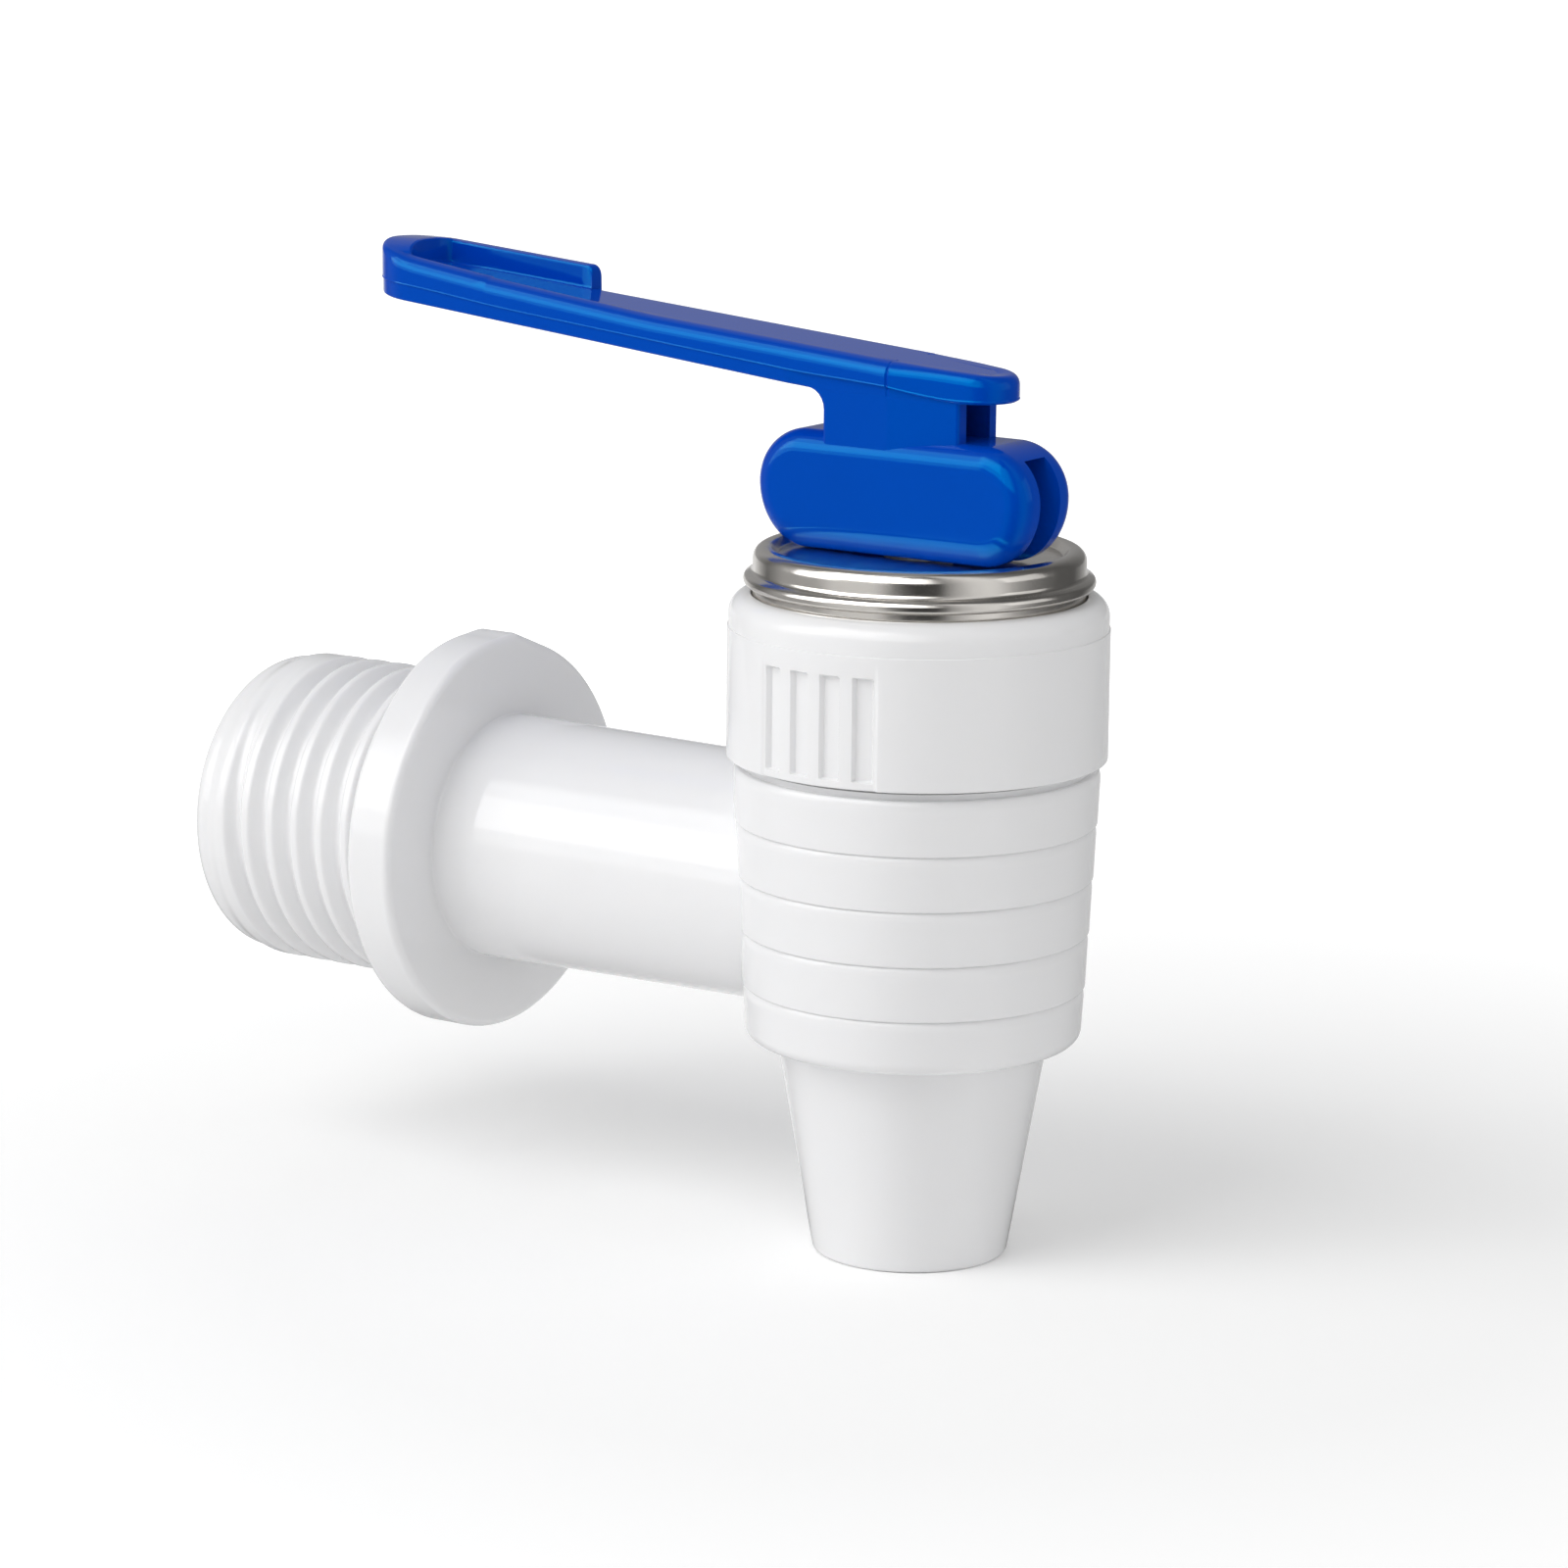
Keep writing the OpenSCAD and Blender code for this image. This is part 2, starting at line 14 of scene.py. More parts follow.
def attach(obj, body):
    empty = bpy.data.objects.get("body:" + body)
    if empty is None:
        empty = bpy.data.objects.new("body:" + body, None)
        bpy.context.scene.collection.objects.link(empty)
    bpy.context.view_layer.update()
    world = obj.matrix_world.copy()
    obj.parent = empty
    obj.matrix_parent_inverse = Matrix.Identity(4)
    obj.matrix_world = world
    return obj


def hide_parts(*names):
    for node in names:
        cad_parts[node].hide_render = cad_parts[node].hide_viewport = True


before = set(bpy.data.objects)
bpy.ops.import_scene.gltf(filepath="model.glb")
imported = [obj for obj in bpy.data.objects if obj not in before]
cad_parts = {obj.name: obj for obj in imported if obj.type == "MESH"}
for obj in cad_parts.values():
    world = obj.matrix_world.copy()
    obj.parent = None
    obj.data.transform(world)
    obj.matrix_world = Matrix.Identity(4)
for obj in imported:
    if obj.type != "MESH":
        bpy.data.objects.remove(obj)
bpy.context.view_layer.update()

LOG = logging.getLogger("spigot")
MM = 0.001
# Points nearer than WELD metres are merged, HAIR millimetres tell two places apart, and a cutter reaches
# OVER millimetres past what it cuts.
WELD = 1e-6
HAIR = 0.01
OVER = 1.0

Piece = bpy.types.Object
Socket = bpy.types.NodeSocket
Pair = tuple[float, float]
Colour = tuple[float, float, float]
OnPlan = Callable[[float, float], float]


class Join(Enum):
    """How one solid is combined with another."""

    ADD = "UNION"
    CUT = "DIFFERENCE"


class Axis(Enum):
    """The two axes that turned pieces are made about."""

    SHANK = "shank"
    BARREL = "barrel"


def clear_selection() -> None:
    """Leaves edit mode and deselects every object."""
    if bpy.context.object is not None and bpy.context.object.mode != "OBJECT":
        bpy.ops.object.mode_set(mode="OBJECT")
    bpy.ops.object.select_all(action="DESELECT")


def pick(piece: Piece) -> None:
    """Makes one object the only selected and active one.

    Args:
        piece: The object.
    """
    clear_selection()
    piece.select_set(True)
    bpy.context.view_layer.objects.active = piece


def pick_edges(piece: Piece, wanted: Callable[[Vector, Vector], bool]) -> None:
    """Selects some of a piece's edges and leaves it in edit mode.

    Args:
        piece: The object, with its place in its mesh.
        wanted: Tells from an edge's two ends, in metres, whether it is selected.
    """
    pick(piece)
    bpy.ops.object.mode_set(mode="EDIT")
    bpy.ops.mesh.select_mode(type="EDGE")
    bpy.ops.mesh.select_all(action="DESELECT")
    bpy.ops.object.mode_set(mode="OBJECT")
    for edge in piece.data.edges:
        a, b = (piece.data.vertices[i].co for i in edge.vertices)
        edge.select = wanted(a, b)
    bpy.ops.object.mode_set(mode="EDIT")


def start_chain(name: str, points: Sequence[Vector]) -> Piece:
    """Draws a chain of edges, starting from a plane that is merged to one point.

    Args:
        name: The new object's name.
        points: The chain's points, in metres.

    Returns:
        The object, in edit mode with its last point selected.
    """
    clear_selection()
    bpy.ops.mesh.primitive_plane_add(size=MM, location=(0, 0, 0))
    piece = bpy.context.object
    piece.name = name
    bpy.ops.object.mode_set(mode="EDIT")
    bpy.ops.mesh.select_mode(type="VERT")
    bpy.ops.mesh.select_all(action="SELECT")
    bpy.ops.mesh.merge(type="CENTER")
    bpy.ops.transform.translate(value=points[0])
    for here, there in zip(points, points[1:]):
        bpy.ops.mesh.extrude_vertices_move(TRANSFORM_OT_translate={"value": there - here})
    return piece


def close_seams() -> None:
    """Merges doubles of the mesh in edit mode and turns its faces outwards."""
    bpy.ops.mesh.select_all(action="SELECT")
    bpy.ops.mesh.remove_doubles(threshold=WELD)
    bpy.ops.mesh.dissolve_degenerate(threshold=WELD / 10)
    bpy.ops.mesh.normals_make_consistent(inside=False)


def combine(target: Piece, tool: Piece, how: Join) -> None:
    """Adds a solid to another or cuts it away, and removes the tool.

    Args:
        target: The solid that is kept.
        tool: The solid that is used up.
        how: Whether the tool is added or cut away.
    """
    pick(target)
    modifier = target.modifiers.new("join", "BOOLEAN")
    modifier.operation = how.value
    modifier.solver = "EXACT"
    modifier.object = tool
    bpy.ops.object.modifier_apply(modifier=modifier.name)
    bpy.data.objects.remove(tool, do_unlink=True)


def smooth(piece: Piece, degrees: float = 35.0) -> None:
    """Shades a piece smooth, with edges sharper than the angle left crisp."""
    pick(piece)
    bpy.ops.object.shade_smooth_by_angle(angle=math.radians(degrees))


def flatten_shading(piece: Piece) -> None:
    """Lets large flat faces keep their own shading beside small rounded ones.

    Args:
        piece: The object, already shaded smooth.
    """
    pick(piece)
    modifier = piece.modifiers.new("shading", "WEIGHTED_NORMAL")
    modifier.keep_sharp = True
    bpy.ops.object.modifier_apply(modifier=modifier.name)


def arc(centre: Pair, radius: float, start: float, end: float, steps: int = 6) -> list[Pair]:
    """Points on an arc of a drawn profile.

    Args:
        centre: The arc's centre.
        radius: Its radius.
        start: First angle in degrees.
        end: Last angle in degrees.
        steps: Number of straight pieces.

    Returns:
        The points from start to end.
    """
    turns = [math.radians(start + (end - start) * i / steps) for i in range(steps + 1)]
    return [(centre[0] + radius * math.cos(a), centre[1] + radius * math.sin(a)) for a in turns]


def ease(x: float, low: float, high: float) -> float:
    """Rises smoothly from 0 at low to 1 at high."""
    t = min(max((x - low) / (high - low), 0.0), 1.0)
    return t * t * (3 - 2 * t)


@dataclass(frozen=True)
class Lathe:
    """Turns drawn profiles about the shank's or the barrel's axis.

    A profile is a list of (radius, place along the axis), in millimetres.
    """

    axis: Axis
    reach: float = 34.45

    def point(self, radius: float, along: float) -> Vector:
        """Places a point of a profile.

        Args:
            radius: Its distance from the axis.
            along: Its place along the axis.

        Returns:
            The point, in metres.
        """
        if self.axis is Axis.SHANK:
            return Vector((along, 0, radius)) * MM
        return Vector((self.reach + radius, 0, along)) * MM

    def turn(self, name: str, profile: Sequence[Pair], sectors: Sequence[Pair]) -> Piece:
        """Spins a profile once round the axis.

        Args:
            name: The new object's name.
            profile: The drawn profile, which is closed here if it doesn't end on the axis.
            sectors: Stretches of the turn as (degrees, steps), which add up to a full turn.

        Returns:
            The closed solid, in object mode.
        """
        loop = list(profile)
        if loop[0][0] > 0:
            loop.append(loop[0])
        piece = start_chain(name, [self.point(*p) for p in loop])
        centre = (0, 0, 0) if self.axis is Axis.SHANK else (self.reach * MM, 0, 0)
        about = (1, 0, 0) if self.axis is Axis.SHANK else (0, 0, 1)
        bpy.ops.mesh.select_all(action="SELECT")
        for degrees, steps in sectors:
            bpy.ops.mesh.spin(
                steps=int(steps),
                angle=math.radians(degrees),
                center=centre,
                axis=about,
                use_auto_merge=False,
            )
        close_seams()
        bpy.ops.object.mode_set(mode="OBJECT")
        return piece


@dataclass(frozen=True)
class Loft:
    """Grows a solid from ring to ring, each with as many points as the first."""

    name: str

    def build(self, rings: Sequence[Sequence[Vector]]) -> Piece:
        """Draws the first ring, fills it and extrudes it through the others.

        Args:
            rings: The rings in order, in metres.

        Returns:
            The closed solid, in object mode.
        """
        piece = start_chain(self.name, rings[0])
        bpy.ops.mesh.select_all(action="SELECT")
        bpy.ops.mesh.edge_face_add()
        step = Vector((0, 0, MM))
        for _ in rings[1:]:
            bpy.ops.mesh.extrude_region_move(TRANSFORM_OT_translate={"value": step})
        bpy.ops.object.mode_set(mode="OBJECT")
        places = [place for ring in rings for place in ring]
        if len(piece.data.vertices) != len(places):
            raise ValueError(f"{self.name}: {len(piece.data.vertices)} points for {len(places)} places")
        drawn = KDTree(len(places))
        for i in range(len(places)):
            k, at = divmod(i, len(rings[0]))
            drawn.insert(rings[0][at] + step * k, i)
        drawn.balance()
        for vertex in piece.data.vertices:
            vertex.co = places[drawn.find(vertex.co)[1]]
        piece.data.update()
        pick(piece)
        bpy.ops.object.mode_set(mode="EDIT")
        close_seams()
        bpy.ops.object.mode_set(mode="OBJECT")
        return piece


def move_points(piece: Piece, shift: Callable[[Vector], Vector]) -> None:
    """Moves each point of a mesh, as a sculptor would.

    Args:
        piece: The object, with its place in its mesh.
        shift: Gives a point's new place, in millimetres, from its old one.
    """
    for vertex in piece.data.vertices:
        vertex.co = shift(vertex.co / MM) * MM
    piece.data.update()


class Graph:
    """A node tree, with short ways to add and link nodes."""

    def __init__(self, tree: bpy.types.NodeTree) -> None:
        """Takes up a node tree."""
        self.tree = tree

    def add(self, kind: str, **values: object) -> bpy.types.Node:
        """Adds a node and sets its properties or, where it has none of that name, its inputs.

        Args:
            kind: The node's type, without the leading ShaderNode.
            values: Properties and inputs by name, with _ for a space.

        Returns:
            The new node.
        """
        node = self.tree.nodes.new("ShaderNode" + kind)
        for name, value in values.items():
            if hasattr(node, name):
                setattr(node, name, value)
            else:
                node.inputs[name.replace("_", " ")].default_value = value
        return node

    def link(self, source: Socket, target: Socket) -> None:
        """Links two sockets."""
        self.tree.links.new(source, target)

    def feed(self, kind: str, *parts: Socket | float, **values: object) -> Socket:
        """Adds a node and feeds its inputs in their order.

        Args:
            kind: The node's type, without the leading ShaderNode.
            parts: A socket or a number for each input.
            values: Properties and inputs by name, with _ for a space.

        Returns:
            The node's first output.
        """
        node = self.add(kind, **values)
        for place, part in zip(node.inputs, parts):
            if isinstance(part, Socket):
                self.link(part, place)
            else:
                place.default_value = part
        return node.outputs[0]

    def noise(self, where: Socket, scale: float, detail: float = 3.0) -> Socket:
        """A noise value at a place, with its scale in cycles per metre."""
        return self.feed("TexNoise", where, Scale=scale, Detail=detail)

    def remap(self, value: Socket, low: Pair, high: Pair) -> Socket:
        """Maps a value from one range to another, without leaving the second."""
        return self.feed("MapRange", value, *low, *high)

    def blend(self, share: Socket, first: Colour, second: Colour) -> Socket:
        """Mixes two colours.

        Args:
            share: The second colour's share.
            first: The colour at 0.
            second: The colour at 1.

        Returns:
            The mixed colour.
        """
        node = self.add("Mix", data_type="RGBA")
        self.link(share, node.inputs["Factor"])
        pair = [socket for socket in node.inputs if socket.type == "RGBA"]
        for socket, colour in zip(pair, (first, second)):
            socket.default_value = (*colour, 1)
        return next(socket for socket in node.outputs if socket.type == "RGBA")

    def ramp(self, value: Socket, stops: Sequence[Pair]) -> Socket:
        """Turns a value into grey levels.

        Args:
            value: The value, from 0 to 1.
            stops: Places along it and their levels, in order.

        Returns:
            The grey level between the stops.
        """
        node = self.add("ValToRGB")
        self.link(value, node.inputs[0])
        elements = node.color_ramp.elements
        while len(elements) > 1:
            elements.remove(elements[-1])
        for i, (place, level) in enumerate(stops):
            stop = elements[0] if i == 0 else elements.new(place)
            stop.position = place
            stop.color = (level, level, level, 1)
        return node.outputs["Color"]


class Coat(Graph):
    """A new material round a Principled shader, with patterns on the piece's own Object coordinates."""

    def __init__(self, name: str) -> None:
        """Makes the material.

        Args:
            name: The material's name.
        """
        self.material = bpy.data.materials.new(name)
        self.material.use_nodes = True
        super().__init__(self.material.node_tree)
        self.shader = self.tree.nodes["Principled BSDF"]
        self.place = self.add("TexCoord").outputs["Object"]

    def tie(self, **sources: Socket) -> None:
        """Links sockets to the shader's inputs, by name with _ for a space."""
        for name, source in sources.items():
            self.link(source, self.shader.inputs[name.replace("_", " ")])

    def fix(self, **values: object) -> None:
        """Sets the shader's inputs, by name with _ for a space."""
        for name, value in values.items():
            self.shader.inputs[name.replace("_", " ")].default_value = value

    def bump(self, height: Socket, distance: float) -> None:
        """Raises the surface a little.

        Args:
            height: The value that raises it.
            distance: How far a value of 1 raises it, in metres.
        """
        bump = self.add("Bump", Strength=1.0, Distance=distance)
        self.link(height, bump.inputs["Height"])
        self.tie(Normal=bump.outputs["Normal"])


@dataclass(frozen=True)
class MouldedPlastic:
    """A glossy moulding with a faint cloud in its colour and gloss and a trace of orange peel."""

    slot: str
    light: Colour
    dark: Colour
    gloss: Pair
    index: float = 1.5
    tint: Colour = (1.0, 1.0, 1.0)
    translucency: float = 0.0
    scatter: Colour = (1.0, 0.9, 0.8)
    scatter_depth: float = 0.0012
    cloud_scale: float = 90.0
    gloss_scale: float = 150.0
    peel_scale: float = 900.0
    peel: float = 0.0000004

    def make(self) -> bpy.types.Material:
        """Builds the material.

        Returns:
            The material, named after its slot.
        """
        coat = Coat(self.slot)
        cloud, shine = coat.noise(coat.place, self.cloud_scale), coat.noise(coat.place, self.gloss_scale)
        coat.tie(
            Base_Color=coat.blend(cloud, self.light, self.dark),
            Roughness=coat.remap(shine, (0.0, 1.0), self.gloss),
        )
        coat.bump(coat.noise(coat.place, self.peel_scale, 2.0), self.peel)
        coat.fix(
            IOR=self.index,
            Specular_Tint=(*self.tint, 1),
            Subsurface_Weight=self.translucency,
            Subsurface_Radius=self.scatter,
            Subsurface_Scale=self.scatter_depth,
        )
        return coat.material


@dataclass(frozen=True)
class PlatedMetal:
    """Bright plate with the faint grain of the drawn sheet under it."""

    slot: str
    light: Colour
    dark: Colour
    gloss: Pair = (0.13, 0.24)
    cloud_scale: float = 250.0
    cloud_range: Pair = (0.35, 0.65)
    gloss_scale: float = 700.0
    gloss_range: Pair = (0.3, 0.7)
    grain_scale: float = 1500.0
    grain: float = 0.000004

    def make(self) -> bpy.types.Material:
        """Builds the material.

        Returns:
            The material, named after its slot.
        """
        coat = Coat(self.slot)
        cloud = coat.remap(coat.noise(coat.place, self.cloud_scale), self.cloud_range, (0.0, 1.0))
        shine = coat.remap(coat.noise(coat.place, self.gloss_scale), self.gloss_range, self.gloss)
        coat.tie(Base_Color=coat.blend(cloud, self.light, self.dark), Roughness=shine)
        coat.bump(coat.noise(coat.place, self.grain_scale, 4.0), self.grain)
        coat.fix(Metallic=1.0)
        return coat.material


@dataclass(frozen=True)
class Silicone:
    """Soft milky rubber."""

    slot: str
    light: Colour
    dark: Colour
    roughness: float = 0.45
    translucency: float = 0.3
    scatter_depth: float = 0.002
    cloud_scale: float = 300.0
    grain_scale: float = 2500.0
    grain: float = 0.000004

    def make(self) -> bpy.types.Material:
        """Builds the material.

        Returns:
            The material, named after its slot.
        """
        coat = Coat(self.slot)
        coat.tie(Base_Color=coat.blend(coat.noise(coat.place, self.cloud_scale), self.light, self.dark))
        coat.bump(coat.noise(coat.place, self.grain_scale, 2.0), self.grain)
        coat.fix(
            Roughness=self.roughness,
            Subsurface_Weight=self.translucency,
            Subsurface_Scale=self.scatter_depth,
        )
        return coat.material


Finish = MouldedPlastic | PlatedMetal | Silicone

WHITE = MouldedPlastic(
    "white_plastic", (0.86, 0.86, 0.865), (0.84, 0.84, 0.85), (0.05, 0.08), index=1.38, translucency=0.08
)
BLUE = MouldedPlastic(
    "blue_plastic", (0.0, 0.057, 0.47), (0.0, 0.05, 0.43), (0.07, 0.12), index=1.45, tint=(0.0, 0.72, 1.0)
)
PLATE = PlatedMetal("plated_steel", (0.72, 0.69, 0.65), (0.66, 0.635, 0.6))
STEEL = PlatedMetal("steel", (0.6, 0.6, 0.6), (0.5, 0.5, 0.5), (0.25, 0.35))
INNER = MouldedPlastic("inner_plastic", (0.8, 0.8, 0.78), (0.76, 0.76, 0.74), (0.35, 0.45))
SEAL = Silicone("seal_rubber", (0.75, 0.75, 0.72), (0.7, 0.7, 0.67))


class Workshop:
    """Keeps the materials and books each finished piece into the model."""

    def __init__(self) -> None:
        """Starts with no material made."""
        self.materials: dict[str, bpy.types.Material] = {}

    def material(self, finish: Finish) -> bpy.types.Material:
        """Makes a finish's material once.

        Args:
            finish: The finish.

        Returns:
            Its material.
        """
        if finish.slot not in self.materials:
            self.materials[finish.slot] = finish.make()
        return self.materials[finish.slot]

    def book(self, piece: Piece, finish: Finish, body: str, node: str) -> None:
        """Dresses a new piece and lets it stand for its CAD node.

        Args:
            piece: The finished object.
            finish: What it is made of.
            body: The CAD body that it rides on.
            node: The CAD node that it replaces.
        """
        piece.data.materials.clear()
        piece.data.materials.append(self.material(finish))
        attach(piece, body)
        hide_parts(node)
        LOG.info("%s: %d faces for %s on %s", piece.name, len(piece.data.polygons), node, body)

    def dress(self, node: str, finish: Finish) -> None:
        """Gives a CAD node that stays a finished material.

        Args:
            node: The CAD node's name.
            finish: What it is made of.
        """
        material = self.material(finish)
        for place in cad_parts[node].material_slots:
            place.material = material
        LOG.info("%s: kept from the CAD model as %s", node, finish.slot)


@dataclass
class TapBody:
    """White moulding: threaded shank, flange, tube, banded barrel and nozzle. Lengths in millimetres."""

    shop: Workshop
    shank_len: float = 15.1
    crest_r: float = 10.0
    root_r: float = 8.9
    pitch: float = 2.0
    nose_len: float = 1.9
    nose_r: float = 9.7
    nose_round: float = 1.3
    nose_ramp: Pair = (-0.5, 0.8)
    run_out: float = 1.2
    run_out_ramp: Pair = (-0.3, 0.1)
    groove_x: float = -11.7
    groove_fade: float = 0.35
    groove_depth: float = 0.85
    groove_edge: Pair = (0.12, 0.82)
    inlet_r: float = 5.2
    flange_r: float = 12.5
    flange_t: float = 3.35
    flange_edge: float = 0.5
    peak_turn: float = 84.375
    peak_half: float = 16.5
    peak_shoulder: float = 0.4
    peak_fall: Pair = (24.0, 56.0)
    apex_fall: Pair = (0.0, 8.0)
    relief_r: float = 10.4
    relief_depth: float = 0.3
    tube_r: float = 7.85
    tube_end_r: float = 7.5
    tube_fillet: float = 0.15
    tube_rings: int = 12
    reach: float = 34.45
    mouth_z: float = -22.0
    mouth_r: float = 6.05
    mouth_edge: float = 0.3
    nozzle_root_r: float = 7.95
    nozzle_root_z: float = -10.7
    outlet_r: float = 4.6
    band_z: float = -8.5
    band_h: float = 3.4
    band_count: int = 5
    band_r: float = 10.35
    band_step: float = 0.184
    band_lean: float = 0.11
    band_round: Pair = (0.2, 0.65)
    band_edge: float = 0.12
    root_fillet: float = 0.35
    root_drop: float = 0.05
    bottom_round: float = 0.8
    shoulder: Pair = (10.7, 8.85)
    chamber_r: float = 8.0
    chamber_z: float = -6.6
    seat_z: float = -5.8
    seat_w: float = 0.9
    seat_edge: float = 0.2
    neck_r: float = 10.0
    neck_root_r: float = 9.6
    neck_top_z: float = 12.4
    neck_lands: Pair = (9.73, 11.5)
    land_half: Pair = (0.25, 0.6)
    round_steps: int = 256
    inlet_steps: int = 96
    chamber_steps: int = 128
    ring_step: float = 0.1

    def base_radius(self, x: float) -> float:
        """Radius of the shank before its groove is cut: nose, crests and run-out.

        Args:
            x: Place along the shank.

        Returns:
            The radius.
        """
        low, high = (-self.shank_len + self.nose_len + ramp for ramp in self.nose_ramp)
        rise = (self.crest_r - self.nose_r) * ease(x, low, high)
        low, high = (-self.run_out + ramp for ramp in self.run_out_ramp)
        return self.nose_r + rise - (self.crest_r - self.root_r) * ease(x, low, high)

    def shank_profile(self) -> list[Pair]:
        """Draws shank, flange and tube from the nose to the barrel's axis, with close rings for the thread.

        Returns:
            The profile.
        """
        edge, out = self.flange_edge, self.flange_r - self.flange_edge
        first = -self.shank_len + self.nose_round
        rings = round((self.relief_depth - first) / self.ring_step)
        profile = [(0.0, -self.shank_len)]
        profile += arc((self.nose_r - self.nose_round, first), self.nose_round, -90, 0, 10)
        steps = [first + (i + 1) * self.ring_step for i in range(rings)]
        profile += [(self.base_radius(x), x) for x in steps]
        profile += [(self.relief_r, self.relief_depth), (self.relief_r, 0.0)]
        profile += arc((out, edge), edge, -90, 0)
        profile += arc((out, self.flange_t - edge), edge, 0, 90)
        foot = self.flange_t + self.tube_fillet
        profile += arc((self.tube_r + self.tube_fillet, foot), self.tube_fillet, 270, 180, 4)
        fall, stretch, count = self.tube_end_r - self.tube_r, self.reach - foot, self.tube_rings
        for i in range(1, count + 1):
            profile.append((self.tube_r + fall * i / count, foot + stretch * i / count))
        return profile + [(0.0, self.reach)]

    def groove(self, place: Vector) -> float:
        """Depth of the thread's helical groove, as a share of its full depth.

        Args:
            place: A point of the shank.

        Returns:
            0 on a crest and 1 at the root.
        """
        turn = math.atan2(place.z, place.y) / (2 * math.pi) - 0.25
        along = (place.x - self.groove_x) / self.pitch - turn
        lap = round(along)
        off = abs(along - lap) * self.pitch
        return (1 - ease(off, *self.groove_edge)) * ease(lap + turn, 0.0, self.groove_fade)

    def shape(self, place: Vector) -> Vector:
        """Moves a point of the turned shank to the thread's surface or to the peak on the flange's rim.

        Args:
            place: The point.

        Returns:
            Its new place.
        """
        radius = math.hypot(place.y, place.z)
        target = radius
        on_shank = place.x < self.relief_depth - HAIR and self.root_r - HAIR < radius < self.crest_r + HAIR
        if on_shank and place.x > -self.shank_len + self.nose_round - HAIR:
            depth = min(self.base_radius(place.x) - self.root_r, self.groove_depth)
            target = radius - depth * self.groove(place)
        off = math.degrees(math.atan2(place.z, place.y)) - self.peak_turn
        on_rim = radius > self.flange_r - self.flange_edge - HAIR
        if on_rim and -self.peak_half < off <= 0:
            target = radius / math.cos(math.radians(self.peak_half + off))
        elif on_rim and off > 0:
            height = self.flange_r / math.cos(math.radians(self.peak_half)) - self.flange_r
            apex = height - self.peak_shoulder
            target = radius + self.peak_shoulder * (1 - ease(off, *self.peak_fall))
            target += apex * (1 - ease(off, *self.apex_fall))
        if target == radius:
            return place
        return Vector((place.x, place.y * target / radius, place.z * target / radius))

    def barrel_profile(self) -> list[Pair]:
        """Draws the outside of nozzle, bands and neck, from the mouth upwards.

        Returns:
            The profile.
        """
        profile = [(0.0, self.mouth_z)]
        edge = self.mouth_edge
        profile += arc((self.mouth_r - edge, self.mouth_z + edge), edge, -90, -10)
        slope = (self.nozzle_root_r - self.mouth_r) / (self.nozzle_root_z - self.mouth_z)
        root = self.nozzle_root_r + slope * (self.band_z - self.nozzle_root_z)
        fillet = self.root_fillet
        low = self.band_z - fillet - self.root_drop
        profile += [(root - slope * fillet, low)]
        profile += arc((root + fillet, low), fillet, 170, 90, 4)
        for i in range(self.band_count):
            low, radius = self.band_z + i * self.band_h, self.band_r + i * self.band_step
            edge, steps = (self.bottom_round, 8) if i == 0 else (self.band_edge, 3)
            profile += arc((radius - edge, low + edge), edge, -90, 0, steps)
            deep, high = self.band_round
            rim, top = radius + self.band_lean - deep, low + self.band_h
            profile += [(rim + deep * x, top - high + high * z) for x, z in arc((0.0, 0.0), 1.0, 0, 90, 8)]
        root, crest = self.neck_root_r, self.neck_r
        step_r, step_z = self.shoulder
        profile += [(step_r, self.band_z + self.band_count * self.band_h), (step_r, step_z), (root, step_z)]
        flat, foot = self.land_half
        for z in self.neck_lands:
            profile += [(root, z - foot), (crest, z - flat), (crest, z + flat), (root, z + foot)]
        return profile + [(root, self.neck_top_z), (0.0, self.neck_top_z)]

    def chamber_profile(self) -> list[Pair]:
        """Draws the hollow for outlet, seat and valve chamber.

        Returns:
            The profile.
        """
        lip, edge = self.outlet_r + self.seat_w, self.seat_edge
        low, high = self.mouth_z - OVER, self.neck_top_z + OVER
        return [
            (0.0, low),
            (self.outlet_r, low),
            (self.outlet_r, self.seat_z),
            (lip - edge, self.seat_z),
            (lip, self.seat_z - edge),
            (lip + edge, self.chamber_z),
            (self.chamber_r, self.chamber_z),
            (self.chamber_r, high),
            (0.0, high),
        ]

    def build(self) -> None:
        """Turns the two crossing solids, joins them and bores them."""
        whole = [(360.0, self.round_steps)]
        shank, barrel = Lathe(Axis.SHANK, self.reach), Lathe(Axis.BARREL, self.reach)
        body = shank.turn("tap_moulding", self.shank_profile(), whole)
        move_points(body, self.shape)
        combine(body, barrel.turn("barrel", self.barrel_profile(), whole), Join.ADD)
        low = -self.shank_len - OVER
        inlet = [(0.0, low), (self.inlet_r, low), (self.inlet_r, self.reach), (0.0, self.reach)]
        combine(body, shank.turn("inlet", inlet, [(360.0, self.inlet_steps)]), Join.CUT)
        chamber = barrel.turn("chamber", self.chamber_profile(), [(360.0, self.chamber_steps)])
        combine(body, chamber, Join.CUT)
        smooth(body)
        flatten_shading(body)
        self.shop.book(body, WHITE, "tap", "tap_body")


